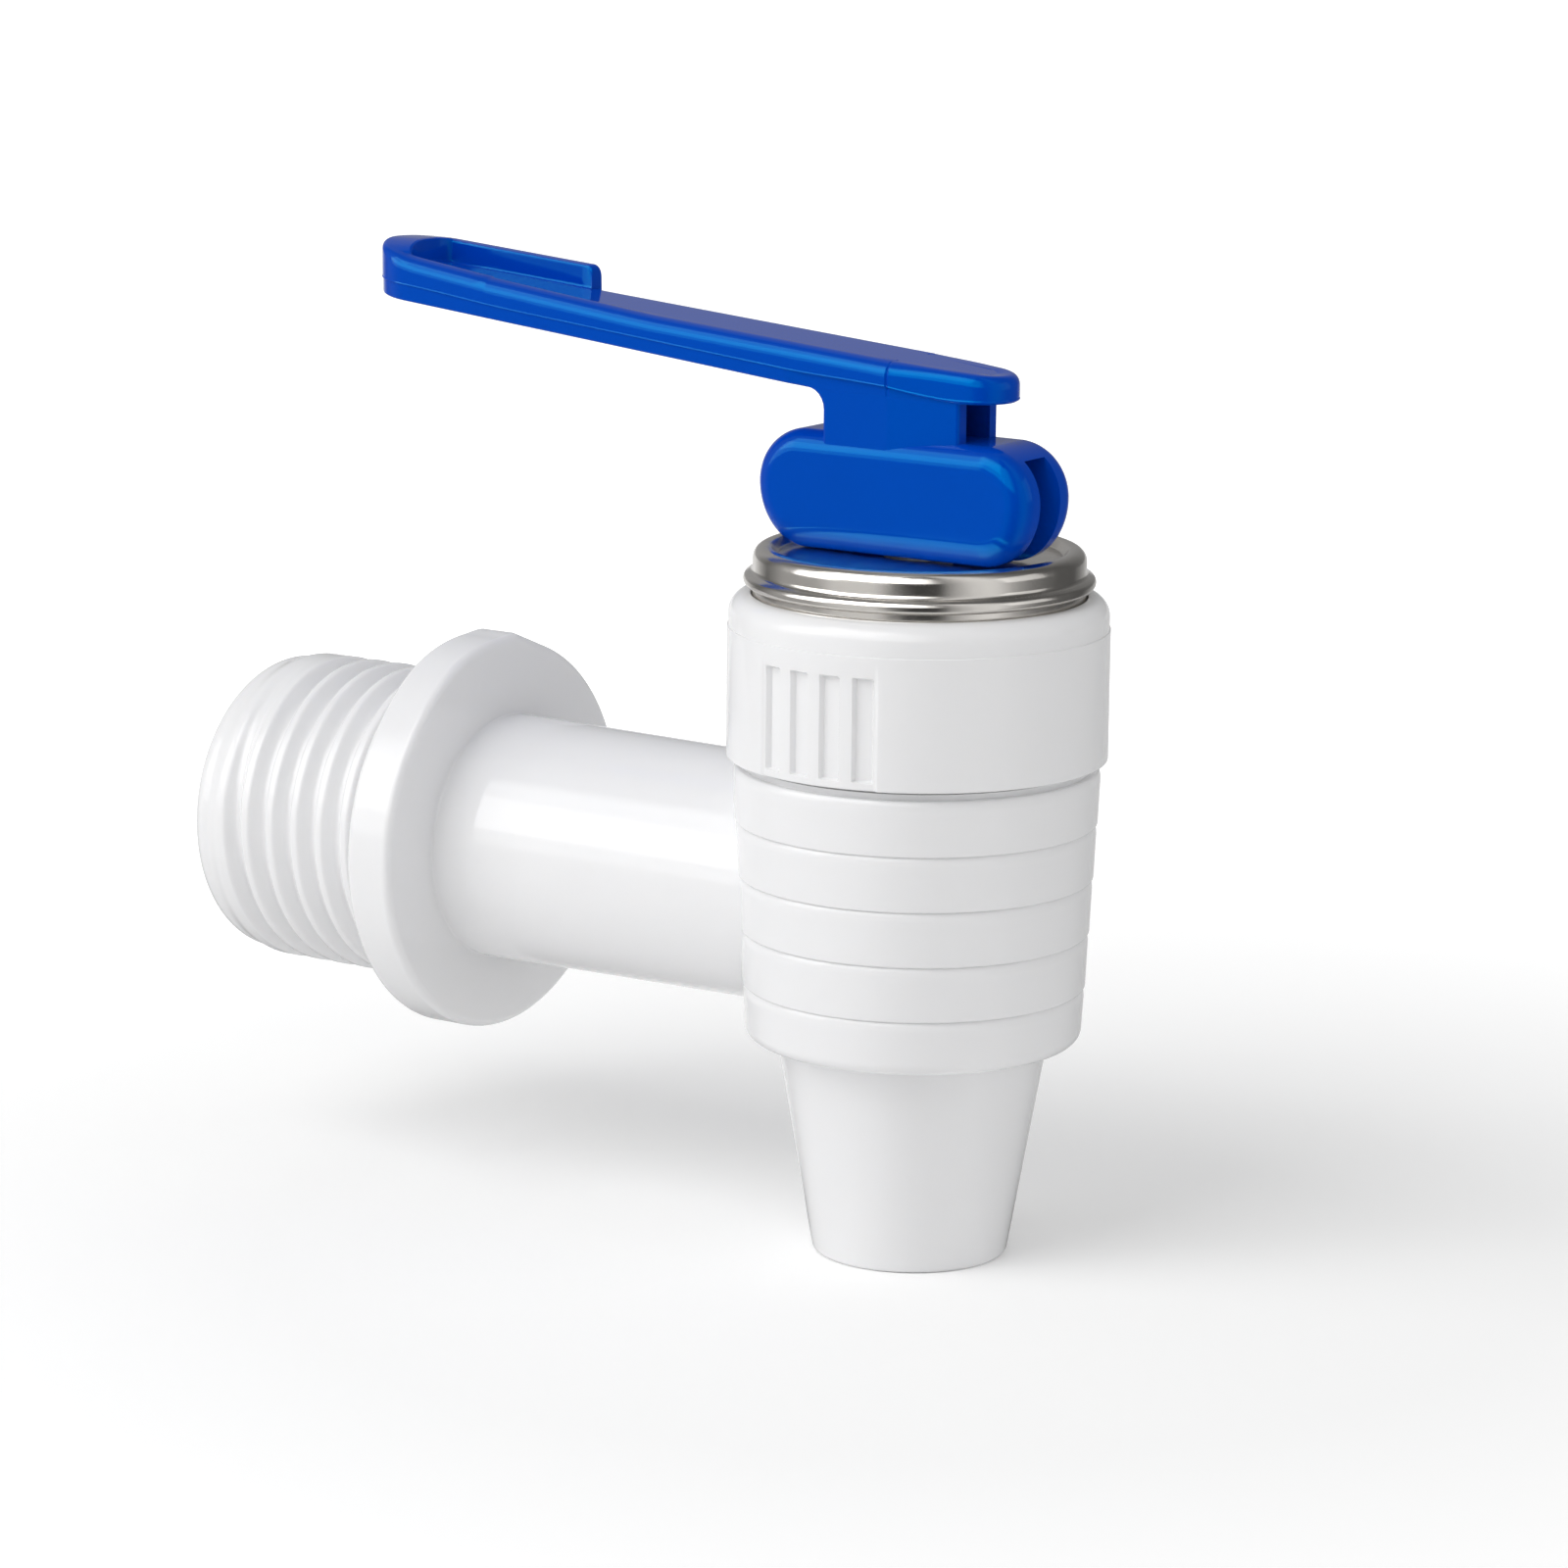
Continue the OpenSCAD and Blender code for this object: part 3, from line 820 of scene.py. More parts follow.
@dataclass
class Bonnet:
    """White collar with grip flutes, rounded shoulder and the boss under the cap. Lengths in millimetres."""

    shop: Workshop
    reach: float = 34.45
    skirt_z: float = 9.1
    skirt_top_z: float = 19.1
    skirt_r: float = 11.625
    bore_r: float = 10.1
    edge: float = 0.1
    shoulder: float = 1.2
    parting_z: float = 17.1
    parting_step: float = 0.07
    parting_run: Pair = (0.04, 0.3)
    mouth_r: float = 10.2
    mouth_depth: float = 1.7
    boss_r: float = 9.65
    boss_top_z: float = 21.55
    boss_edge: float = 0.5
    dish_r: Pair = (8.55, 9.05)
    dish: float = 0.6
    roof_z: float = 20.15
    guide_r: float = 2.08
    room_r: float = 7.8
    ledge_z: float = 13.4
    flutes: int = 4
    flute_pitch: float = 10.7
    flute_angle: float = 6.2
    flute_depth: float = 0.48
    flute_top_z: float = 15.9
    flute_foot_z: float = 9.5
    foot_ramp: float = 0.15
    top_ramp: float = 0.2
    panel_depth: float = 0.14
    panel_margin: float = 0.6
    panel_fade: Pair = (15.0, 17.0)
    wall_angle: float = 1.1
    skin: float = 0.2
    plain_steps: int = 36
    crisp: float = 40.0
    rings_z: Sequence[float] = (
        9.3, 9.5, 9.55, 9.6, 9.65, 9.8, 10.1, 10.4, 11.0, 12.0, 13.0, 14.0, 15.0, 15.3, 15.5, 15.62, 15.7,
        15.76, 15.82, 15.88, 15.94, 16.2, 16.5, 16.8, 17.0,
    )

    def profile(self) -> list[Pair]:
        """Draws the collar's section, with close rings where the flutes begin and end.

        Returns:
            The section as a closed loop.
        """
        edge, outer = self.edge, self.skirt_r - self.parting_step
        step, rise = self.parting_run
        skirt = [(self.bore_r, self.skirt_z)]
        skirt += arc((self.skirt_r - edge, self.skirt_z + edge), edge, -90, 0, 3)
        skirt += [(self.skirt_r, z) for z in (*self.rings_z, self.parting_z)]
        skirt += [(outer, self.parting_z + step), (outer, self.parting_z + rise)]
        skirt += arc((outer - self.shoulder, self.skirt_top_z - self.shoulder), self.shoulder, 0, 90, 10)
        floor = self.skirt_top_z - self.mouth_depth
        boss = self.boss_r
        return skirt + [
            *arc((self.mouth_r + edge, self.skirt_top_z - edge), edge, 90, 180, 3),
            (self.mouth_r, floor),
            (boss, floor),
            (boss, self.boss_top_z - self.boss_edge),
            (boss - self.boss_edge, self.boss_top_z),
            (self.dish_r[1], self.boss_top_z),
            (self.dish_r[0], self.boss_top_z - self.dish),
            (self.guide_r, self.boss_top_z - self.dish),
            (self.guide_r, self.roof_z),
            (self.room_r, self.roof_z),
            (self.room_r, self.ledge_z),
            (self.bore_r, self.ledge_z),
        ]

    def sectors(self) -> list[Pair]:
        """Divides the turn, with close steps at the walls of the flutes on both sides.

        Returns:
            Stretches as (degrees, steps), which add up to a full turn.
        """
        gap = self.flute_pitch - self.flute_angle
        wall = (self.wall_angle, 4)
        panel: list[Pair] = [wall, (self.panel_margin, 1)]
        for i in range(self.flutes):
            panel += [wall, (self.flute_angle - self.wall_angle, 5), wall]
            if i < self.flutes - 1:
                panel.append((gap - self.wall_angle, 4))
        panel += [(self.panel_margin, 1), wall]
        span = sum(degrees for degrees, _ in panel)
        plain = ((180 - span) / 2, self.plain_steps)
        return [plain, *panel, plain, plain, *panel, plain]

    def carve(self, place: Vector) -> Vector:
        """Moves a point of the skirt's outside into the grip panel and its flutes.

        Args:
            place: The point.

        Returns:
            Its new place.
        """
        x, y = place.x - self.reach, place.y
        radius = math.hypot(x, y)
        if radius < self.skirt_r - self.skin or place.z > self.panel_fade[1]:
            return place
        angle = abs(math.degrees(math.atan2(y, x))) - 90
        inner, outer = ((self.flute_angle + way * self.wall_angle) / 2 for way in (-1, 1))
        share = 0.0
        for i in range(self.flutes):
            off = abs(angle - (i - (self.flutes - 1) / 2) * self.flute_pitch)
            share = max(share, 1 - ease(off, inner, outer))
        share *= ease(place.z, self.flute_foot_z, self.flute_foot_z + self.foot_ramp)
        share *= 1 - ease(place.z, self.flute_top_z - self.top_ramp, self.flute_top_z)
        field_half = (self.flutes - 1) / 2 * self.flute_pitch + self.flute_angle / 2 + self.panel_margin
        panel = 1 - ease(abs(angle), field_half, field_half + self.wall_angle)
        panel *= 1 - ease(place.z, *self.panel_fade)
        depth = max(share * self.flute_depth, panel * self.panel_depth)
        scale = (radius - depth) / radius
        return Vector((self.reach + x * scale, y * scale, place.z))

    def build(self) -> None:
        """Turns the collar and carves its grip."""
        collar = Lathe(Axis.BARREL, self.reach).turn("bonnet_collar", self.profile(), self.sectors())
        move_points(collar, self.carve)
        smooth(collar, self.crisp)
        flatten_shading(collar)
        self.shop.book(collar, WHITE, "tap", "bonnet")


@dataclass
class CapPlate:
    """Plated cup, drawn from sheet, with its flared foot and rolled bead. Lengths in millimetres."""

    shop: Workshop
    reach: float = 34.45
    top_z: float = 21.95
    wall_r: float = 10.1
    top_round: float = 0.75
    inner_round: float = 0.4
    sheet: float = 0.4
    cove: float = 0.35
    cove_rise: float = 0.9
    bead_r: float = 10.675
    bead_z: float = 19.95
    bead_half: float = 0.42
    foot_edge: float = 0.05
    skirt_z: float = 17.5
    hole_r: float = 2.3
    dish_r: Pair = (8.6, 9.1)
    dish: float = 0.55
    dish_edge: Pair = (0.15, 0.07)
    round_steps: int = 256
    crisp: float = 50.0

    def profile(self) -> list[Pair]:
        """Draws the sheet's section.

        Returns:
            The section as a closed loop.
        """
        inner = self.wall_r - self.sheet
        (low_r, high_r), low_z = self.dish_r, self.top_z - self.dish
        side, rise = self.dish_edge
        outer = [(self.hole_r, low_z - self.sheet), (self.hole_r, low_z), (low_r, low_z)]
        outer += [(low_r + side, low_z + rise), (high_r - side, self.top_z - rise), (high_r, self.top_z)]
        outer += arc((self.wall_r - self.top_round, self.top_z - self.top_round), self.top_round, 90, 0, 10)
        cove, half, edge = self.cove, self.bead_half, self.foot_edge
        outer += arc((self.wall_r + cove, self.bead_z + half + cove * self.cove_rise), cove, 180, 240, 6)
        outer += arc((self.bead_r - half, self.bead_z), half, 45, -90, 14)
        outer += [(self.wall_r + edge, self.bead_z - half), (self.wall_r, self.bead_z - half - edge)]
        outer += [(self.wall_r, self.skirt_z), (inner, self.skirt_z)]
        bend = self.inner_round
        outer += arc((inner - bend, self.top_z - self.sheet - bend), bend, 0, 90, 5)
        return outer + [(high_r, self.top_z - self.sheet), (low_r, low_z - self.sheet)]

    def build(self) -> None:
        """Turns the cup."""
        cup = Lathe(Axis.BARREL, self.reach).turn("cap_cup", self.profile(), [(360.0, self.round_steps)])
        smooth(cup, self.crisp)
        flatten_shading(cup)
        self.shop.book(cup, PLATE, "tap", "cap_plate")


@dataclass(frozen=True)
class PlanPoint:
    """A point of the paddle's plan, with the way in from it for an inset of one millimetre."""

    x: float
    y: float
    in_x: float
    in_y: float


@dataclass
class Lever:
    """Blue moulding: paddle with its lip, hollow neck and cam head.

    Lengths are in millimetres, with x from the pin and z from the shank's axis.
    """

    shop: Workshop
    reach: float = 34.45
    pin_z: float = 25.4
    half: float = 3.15
    tip_x: float = -37.0
    tip_steps: int = 14
    taper_x: float = -0.6
    taper_stops: Sequence[float] = (0.12, 0.3, 0.5, 0.7, 0.88)
    toe_x: float = 4.1
    toe_r: float = 2.35
    toe_turn: float = 80.7
    toe_steps: int = 8
    toe_edge_r: float = 0.6
    toe_edge_x: float = 3.0
    toe_droop: float = 0.32
    droop_x: float = 3.5
    droop_share: Pair = (0.5, 0.25)
    top_z: float = 33.3
    under_z: float = 30.75
    toe_under_z: float = 31.15
    rise: float = 0.08
    thin: float = 0.016
    lip_h: float = 1.45
    lip_w: float = 1.0
    lip_tip_w: float = 2.7
    lip_end_x: float = -26.0
    lip_end_r: float = 0.4
    lip_r: float = 0.3
    lip_foot_w: float = 0.02
    inner_r: float = 0.2
    edge_r: float = 0.9
    edge_w: float = 1.25
    plain_run: Pair = (-0.1, 0.5)
    foot_r: float = 0.2
    lower_r: Pair = (0.02, 0.12)
    lower_run: Pair = (-2.0, 3.0)
    parting_h: float = 0.86
    parting_climb: float = 0.2
    parting_tip: Pair = (28.0, 37.0)
    parting_end_x: float = 3.8
    parting_end_h: float = 0.05
    parting_fall: float = 0.66
    parting_bow: float = 1.5
    parting_gap: float = 0.002
    parting_step: float = 0.05
    step_run: Pair = (-8.0, -6.6)
    bead_out: float = 0.035
    bead_h: float = 0.07
    crease_half: float = 0.12
    crease_depth: float = 0.08
    crease_reach: float = 0.16
    crease_inner_y: float = 2.2
    crease_drop: float = 0.1
    head_r: float = 3.35
    head_back_x: float = -6.9
    head_front_x: float = 5.75
    head_round: float = 1.4
    head_drop: Pair = (0.62, 0.56)
    head_steps: int = 128
    slot_half: float = 1.15
    slot_top_z: float = 27.95
    rod_room_x: Pair = (-3.7, -1.95)
    rod_room_half: float = 2.04
    rod_room_h: float = 3.42
    neck_inset: float = 0.17
    neck_skin: float = 0.02
    neck_foot_h: float = 1.2
    neck_sink: float = 0.31
    neck_crease: float = 0.03
    neck_back_x: float = -5.3
    neck_back_r: float = 0.35
    neck_front_x: float = 3.96
    neck_wall: float = 0.95
    neck_fillet: float = 1.3
    neck_corner: float = 0.25
    room_front: float = 1.14
    pocket_r: float = 1.05
    pocket_half: float = 2.35
    pocket_steps: int = 64
    crisp: float = 24.0
    near_rim: Sequence[Pair] = (
        (-40.15, 1.45), (-39.6, 1.3), (-38.5, 1.08), (-36.7, 0.84), (-35.0, 0.73), (-31.6, 0.53),
        (-30.65, 0.48), (-30.45, 0.41), (-28.4, 0.35), (-24.0, 0.19), (-20.0, 0.05), (-18.0, 0.0),
    )
    stations: Sequence[float] = (
        -36.2, -35.0, -33.3, -31.6, -30.65, -30.45, -28.4, -26.8, -26.4, -26.3, -26.2, -26.1, -26.04, -26.0,
        -25.98, -25.7, -25.4, -24.0, -22.0, -20.0, -18.0, -14.0, -11.0, -8.0, -7.5, -7.0, -6.3, -5.4, -4.2,
        -3.0, -2.0,
    )

    def top_at(self, x: float) -> float:
        """Height of the paddle's top."""
        return self.top_z - self.rise * x

    def under_at(self, x: float) -> float:
        """Height of the paddle's underside."""
        return max(self.under_z - (self.rise + self.thin) * x, self.toe_under_z)

    def parting_at(self, x: float) -> float:
        """Height of the mould's parting line, which falls to the underside along the toe.

        Args:
            x: Place along the lever.

        Returns:
            The height.
        """
        if x < self.taper_x:
            climb = self.parting_climb
            height = self.parting_h + climb * ease(-x, *self.parting_tip)
            height += climb * ease(x, self.step_run[0], self.taper_x)
            return self.under_z - (self.rise + self.thin) * x + height
        left = max(0.0, self.parting_end_x - x) / (self.parting_end_x - self.taper_x)
        return self.toe_under_z + self.parting_end_h + self.parting_fall * left**self.parting_bow

    def step_at(self, x: float) -> float:
        """How far the side is set back under the parting line."""
        return self.parting_step + (self.neck_inset - self.parting_step) * ease(x, *self.step_run)

    def rim_at(self, x: float, y: float) -> float:
        """Height of the lip above the paddle's top.

        Args:
            x: Place along the lever.
            y: Place across it, with the near side below 0.

        Returns:
            The height, which is 0 where there is no lip.
        """
        if y >= 0:
            if x > self.lip_end_x + WELD / MM:
                return 0.0
            over = min(max(x - self.lip_end_x + self.lip_end_r, 0.0) / self.lip_end_r, 1.0)
            return self.lip_h - self.lip_end_r * (1 - math.sqrt(1 - over * over))
        for (x0, h0), (x1, h1) in zip(self.near_rim, self.near_rim[1:]):
            if x < x1:
                return h0 + (h1 - h0) * max(0.0, (x - x0) / (x1 - x0))
        return 0.0

    def plain_at(self, x: float, y: float) -> float:
        """Share of the plain broad edge, against the narrow edge of the full lip.

        Args:
            x: Place along the lever.
            y: Place across it.

        Returns:
            0 for the lip's edge and 1 for the plain edge.
        """
        start, end = self.plain_run
        if y < 0:
            return ease(x, self.tip_x - self.half, self.tip_x + end)
        return ease(x, self.lip_end_x + start, self.lip_end_x + end)

    def plan(self) -> list[PlanPoint]:
        """Draws the paddle's plan.

        Returns:
            Its points from the tip along the near side, round the toe and back on the far side.
        """
        w, lean, side, count = self.half, math.radians(self.toe_turn), self.crease_half, self.tip_steps
        cos, sin = math.cos(lean), math.sin(lean)
        near = []
        for i in range(count + 1):
            a = math.radians(180 + 90 * i / count)
            near.append(PlanPoint(self.tip_x + w * math.cos(a), w * math.sin(a), -math.cos(a), -math.sin(a)))
        near += [PlanPoint(x, -w, 0.0, 1.0) for x in self.stations]
        bend, slope = math.tan((math.pi / 2 - lean) / 2), math.tan(math.pi / 2 - lean)
        near += [
            PlanPoint(self.taper_x - side, -w, 0.0, 1.0),
            PlanPoint(self.taper_x, -w + self.crease_depth, -bend, 1.0),
            PlanPoint(self.taper_x + side, -w + side * slope, -cos, sin),
        ]
        run, fall = self.toe_x + self.toe_r * cos - self.taper_x, w - self.toe_r * sin
        near += [PlanPoint(self.taper_x + run * t, -w + fall * t, -cos, sin) for t in self.taper_stops]
        for i in range(self.toe_steps + 1):
            a = lean * (i / self.toe_steps - 1)
            x, y = self.toe_x + self.toe_r * math.cos(a), self.toe_r * math.sin(a)
            near.append(PlanPoint(x, y, -math.cos(a), -math.sin(a)))
        far = [PlanPoint(p.x, -p.y, p.in_x, -p.in_y) for p in reversed(near)]
        return near + far[1:-1]

    def ring(self, inset: OnPlan, height: OnPlan, tip_inset: float = 0.0) -> list[Vector]:
        """Draws one ring of the paddle.

        Args:
            inset: Gives how far inside the plan a point lies, from its place on the plan.
            height: Gives its height in the same way.
            tip_inset: How much further in the tip is.

        Returns:
            The ring's points, in metres.
        """
        points = []
        for p in self.plan():
            by = inset(p.x, p.y)
            x = p.x + p.in_x * by + max(0.0, p.in_x) * tip_inset
            points.append(Vector((self.reach + x, p.y + p.in_y * by, height(p.x, p.y))) * MM)
        return points

    def paddle(self) -> Piece:
        """Grows the paddle from its underside, over its rounded edge and lip, to the floor inside the lip.

        Returns:
            The paddle as a closed solid.
        """
        quarter = [(math.sin(math.radians(a)), math.cos(math.radians(a))) for a in range(0, 91, 15)]

        def foot(x: float) -> float:
            """Radius of the underside's edge."""
            return min(self.foot_r, (self.parting_at(x) - self.under_at(x)) / 2)

        def lower_edge(x: float) -> float:
            """Radius of the edge over the parting line."""
            return self.lower_r[0] + self.lower_r[1] * ease(x, *self.lower_run)

        def crown(x: float, y: float) -> float:
            """Height of the top, with the lip where there is one."""
            return self.top_at(x) + self.rim_at(x, y)

        def droop(x: float, y: float) -> float:
            """How much lower the toe's edge hangs on the near side."""
            share = min(max(self.droop_share[0] - y * self.droop_share[1], 0.0), 1.0)
            return self.toe_droop * share * ease(x, self.taper_x, self.droop_x)

        def rounding(x: float, y: float) -> float:
            """Radius of the upper edge."""
            plain = self.edge_r + (self.toe_edge_r - self.edge_r) * ease(x, self.taper_x, self.toe_edge_x)
            return self.lip_r + (plain - self.lip_r) * self.plain_at(x, y)

        def width(x: float, y: float) -> float:
            """Width of the lip, or of the plain edge's band."""
            return self.lip_w + (self.edge_w - self.lip_w) * self.plain_at(x, y)

        def soft(x: float, y: float) -> float:
            """Radius of the lip's inner edge and foot."""
            return min(self.inner_r, self.rim_at(x, y) / 2)

        bead, gap, edge, more = self.bead_out, self.parting_gap, self.inner_r, self.lip_tip_w - self.lip_w
        rings = []
        for s, c in quarter[::-2]:
            rings.append(self.ring(lambda x, y, c=c: self.step_at(x) + foot(x) * (1 - c),
                                   lambda x, y, s=s: self.under_at(x) + foot(x) * (1 - s)))
        rings.append(self.ring(lambda x, y: self.step_at(x), lambda x, y: self.parting_at(x)))
        for s, c in quarter[::-2]:
            rings.append(self.ring(lambda x, y, c=c: (lower_edge(x) + bead) * (1 - c) - bead,
                                   lambda x, y, s=s: self.parting_at(x) + gap + lower_edge(x) * (1 - s)))
        rings.append(self.ring(lambda x, y: 0.0,
                               lambda x, y: self.parting_at(x) + lower_edge(x) + self.bead_h))
        for s, c in quarter:
            rings.append(self.ring(lambda x, y, c=c: rounding(x, y) * (1 - c),
                                   lambda x, y, s=s: crown(x, y) - (rounding(x, y) + droop(x, y)) * (1 - s)))
        for s, c in quarter[::-3]:
            rings.append(self.ring(lambda x, y, c=c: width(x, y) - edge * (1 - c),
                                   lambda x, y, s=s: crown(x, y) - soft(x, y) * (1 - s), more))
        for s, c in quarter[::3]:
            rings.append(self.ring(lambda x, y, c=c: width(x, y) + self.lip_foot_w + edge * (1 - c),
                                   lambda x, y, s=s: self.top_at(x) + soft(x, y) * (1 - s), more))
        return Loft("lever_paddle").build(rings)

    def bar(self, name: str, radius: float, half: float, steps: int) -> Piece:
        """Lays a round bar across the lever, on the pin's axis.

        Args:
            name: The new object's name.
            radius: The bar's radius.
            half: Half its length.
            steps: How many sides it has.

        Returns:
            The bar, in object mode.
        """
        clear_selection()
        bpy.ops.mesh.primitive_cylinder_add(
            vertices=steps,
            radius=radius * MM,
            depth=2 * half * MM,
            location=(self.reach * MM, 0, self.pin_z * MM),
            rotation=(math.pi / 2, 0, 0),
        )
        bar = bpy.context.object
        bar.name = name
        bpy.ops.object.transform_apply(location=True, rotation=True, scale=True)
        return bar

    def head(self) -> Piece:
        """Makes the cam head from a round bar, stretched, with rounded cheeks and a lowered foot.

        Returns:
            The head as a closed solid.
        """
        back, front = self.head_drop
        head = self.bar("lever_head", self.head_r, self.half, self.head_steps)

        def stretch(p: Vector) -> Vector:
            """Moves the bar's two halves out to the head's back and front."""
            shift = self.head_back_x if p.x < self.reach else self.head_front_x
            return p + Vector((shift if abs(p.x - self.reach) > HAIR else 0, 0, 0))

        def lower(p: Vector) -> Vector:
            """Stretches the head's lower half down into the cap's dish."""
            drop = back + (front - back) * ease(p.x - self.reach, self.head_back_x, self.head_front_x)
            return Vector((p.x, p.y, p.z - max(0.0, self.pin_z - p.z) / self.head_r * drop))

        move_points(head, stretch)
        pick_edges(head, lambda a, b: abs(a.y - b.y) < WELD)
        bpy.ops.mesh.bevel(offset=self.head_round * MM, segments=10, profile=0.5, affect="EDGES")
        close_seams()
        bpy.ops.object.mode_set(mode="OBJECT")
        move_points(head, lower)
        return head

    def neck(self) -> Piece:
        """Grows the neck from inside the head up into the paddle, with its fillet under the paddle.

        Returns:
            The neck as a closed solid.
        """
        fillet, back, notch = self.neck_fillet, self.neck_back_x, self.crease_half
        under = self.under_at(back - fillet) + self.neck_skin
        levels = [(self.pin_z + self.neck_foot_h, back), (under - fillet, back)]
        for a in range(15, 91, 15):
            s, c = math.sin(math.radians(a)), math.cos(math.radians(a))
            levels.append((under - fillet + fillet * s, back - fillet * (1 - c)))
        levels.append((under + self.neck_sink, back - fillet))
        w = self.half - self.neck_inset - self.neck_skin
        slope = math.radians(90 - self.toe_turn)
        round_x = self.neck_front_x - self.neck_corner
        round_y = w - math.tan(slope) * (round_x - self.taper_x) - self.neck_corner / math.cos(slope)
        corner = self.neck_back_r
        front = arc((round_x, -round_y), self.neck_corner, -self.toe_turn, 0, 4)
        rings = []
        for z, x in levels:
            side = [*arc((x + corner, -w + corner), corner, 180, 270, 4), (self.taper_x - notch, -w)]
            side.append((self.taper_x, -w + self.neck_crease))
            side += [(self.taper_x + notch, -w + notch * math.tan(slope)), *front]
            plan = side + [(px, -py) for px, py in reversed(side)]
            rings.append([Vector((self.reach + px, py, z)) * MM for px, py in plan])
        return Loft("lever_neck").build(rings)

    def block(self, name: str, low: Sequence[float], high: Sequence[float]) -> Piece:
        """Makes a cutter block.

        Args:
            name: The new object's name.
            low: Its lowest corner, in millimetres.
            high: Its highest corner, in millimetres.

        Returns:
            The block, in object mode.
        """
        clear_selection()
        bpy.ops.mesh.primitive_cube_add(size=1, location=[(a + b) / 2 * MM for a, b in zip(low, high)])
        block = bpy.context.object
        block.name = name
        block.scale = [(b - a) * MM for a, b in zip(low, high)]
        bpy.ops.object.transform_apply(location=True, rotation=True, scale=True)
        return block

    def hollow(self) -> Piece:
        """Makes the cutter for the room inside the neck, which is open towards the toe.

        Returns:
            The cutter as a closed solid.
        """
        back, front = self.neck_back_x + self.neck_wall, self.neck_front_x + OVER
        side = self.half - self.neck_wall
        half = [(back, -side), (self.taper_x, -side), (front, -self.room_front)]
        plan = half + [(x, -y) for x, y in reversed(half)]
        rings = []
        for z in (self.pin_z + self.head_r, self.toe_under_z - HAIR):
            rings.append([Vector((self.reach + x, y, z)) * MM for x, y in plan])
        return Loft("neck_room").build(rings)

    def crease(self, lever: Piece) -> None:
        """Keeps the two upright edges crisp where the paddle's sides turn in towards the toe.

        Args:
            lever: The joined moulding.
        """
        low = self.parting_at(self.taper_x) - self.crease_drop
        middle, reach, inner = self.reach + self.taper_x, self.crease_reach, self.crease_inner_y

        def upright(a: Vector, b: Vector) -> bool:
            """Tells whether an edge lies in one of the creases."""
            near = (abs(p.x / MM - middle) < reach and abs(p.y / MM) > inner for p in (a, b))
            return all(near) and min(a.z, b.z) / MM > low

        pick_edges(lever, upright)
        bpy.ops.mesh.mark_sharp()
        bpy.ops.object.mode_set(mode="OBJECT")

    def build(self) -> None:
        """Joins paddle, neck and head and cuts the neck's room, the slot, the rod's room and the pockets."""
        lever = self.paddle()
        lever.name = "lever_moulding"
        combine(lever, self.neck(), Join.ADD)
        combine(lever, self.head(), Join.ADD)
        combine(lever, self.hollow(), Join.CUT)
        reach, foot = self.reach, self.pin_z - self.head_r - OVER
        low = (reach + self.head_back_x - self.head_r - OVER, -self.slot_half, foot)
        high = (reach + self.head_front_x + self.head_r + OVER, self.slot_half, self.slot_top_z)
        combine(lever, self.block("slot", low, high), Join.CUT)
        low = (reach + self.rod_room_x[0], -self.rod_room_half, foot)
        high = (reach + self.rod_room_x[1], self.rod_room_half, self.pin_z - self.rod_room_h)
        combine(lever, self.block("rod_room", low, high), Join.CUT)
        combine(lever, self.bar("pockets", self.pocket_r, self.pocket_half, self.pocket_steps), Join.CUT)
        smooth(lever, self.crisp)
        self.crease(lever)
        flatten_shading(lever)
        self.shop.book(lever, BLUE, "lever", "lever")


@dataclass
class Valve:
    """The inner parts, whose CAD solids are kept and dressed."""

    shop: Workshop

    def build(self) -> None:
        """Dresses the pin, stem, washer, spring and seal."""
        for node, finish in (
            ("hinge_pin", STEEL),
            ("valve_stem", INNER),
            ("thrust_washer", STEEL),
            ("return_spring", STEEL),
            ("seal_cup", SEAL),
        ):
            self.shop.dress(node, finish)


def towards(azimuth: float, elevation: float) -> Vector:
    """The direction from the object at two angles in radians."""
    flat = math.cos(elevation)
    return Vector((math.sin(azimuth) * flat, -math.cos(azimuth) * flat, math.sin(elevation)))


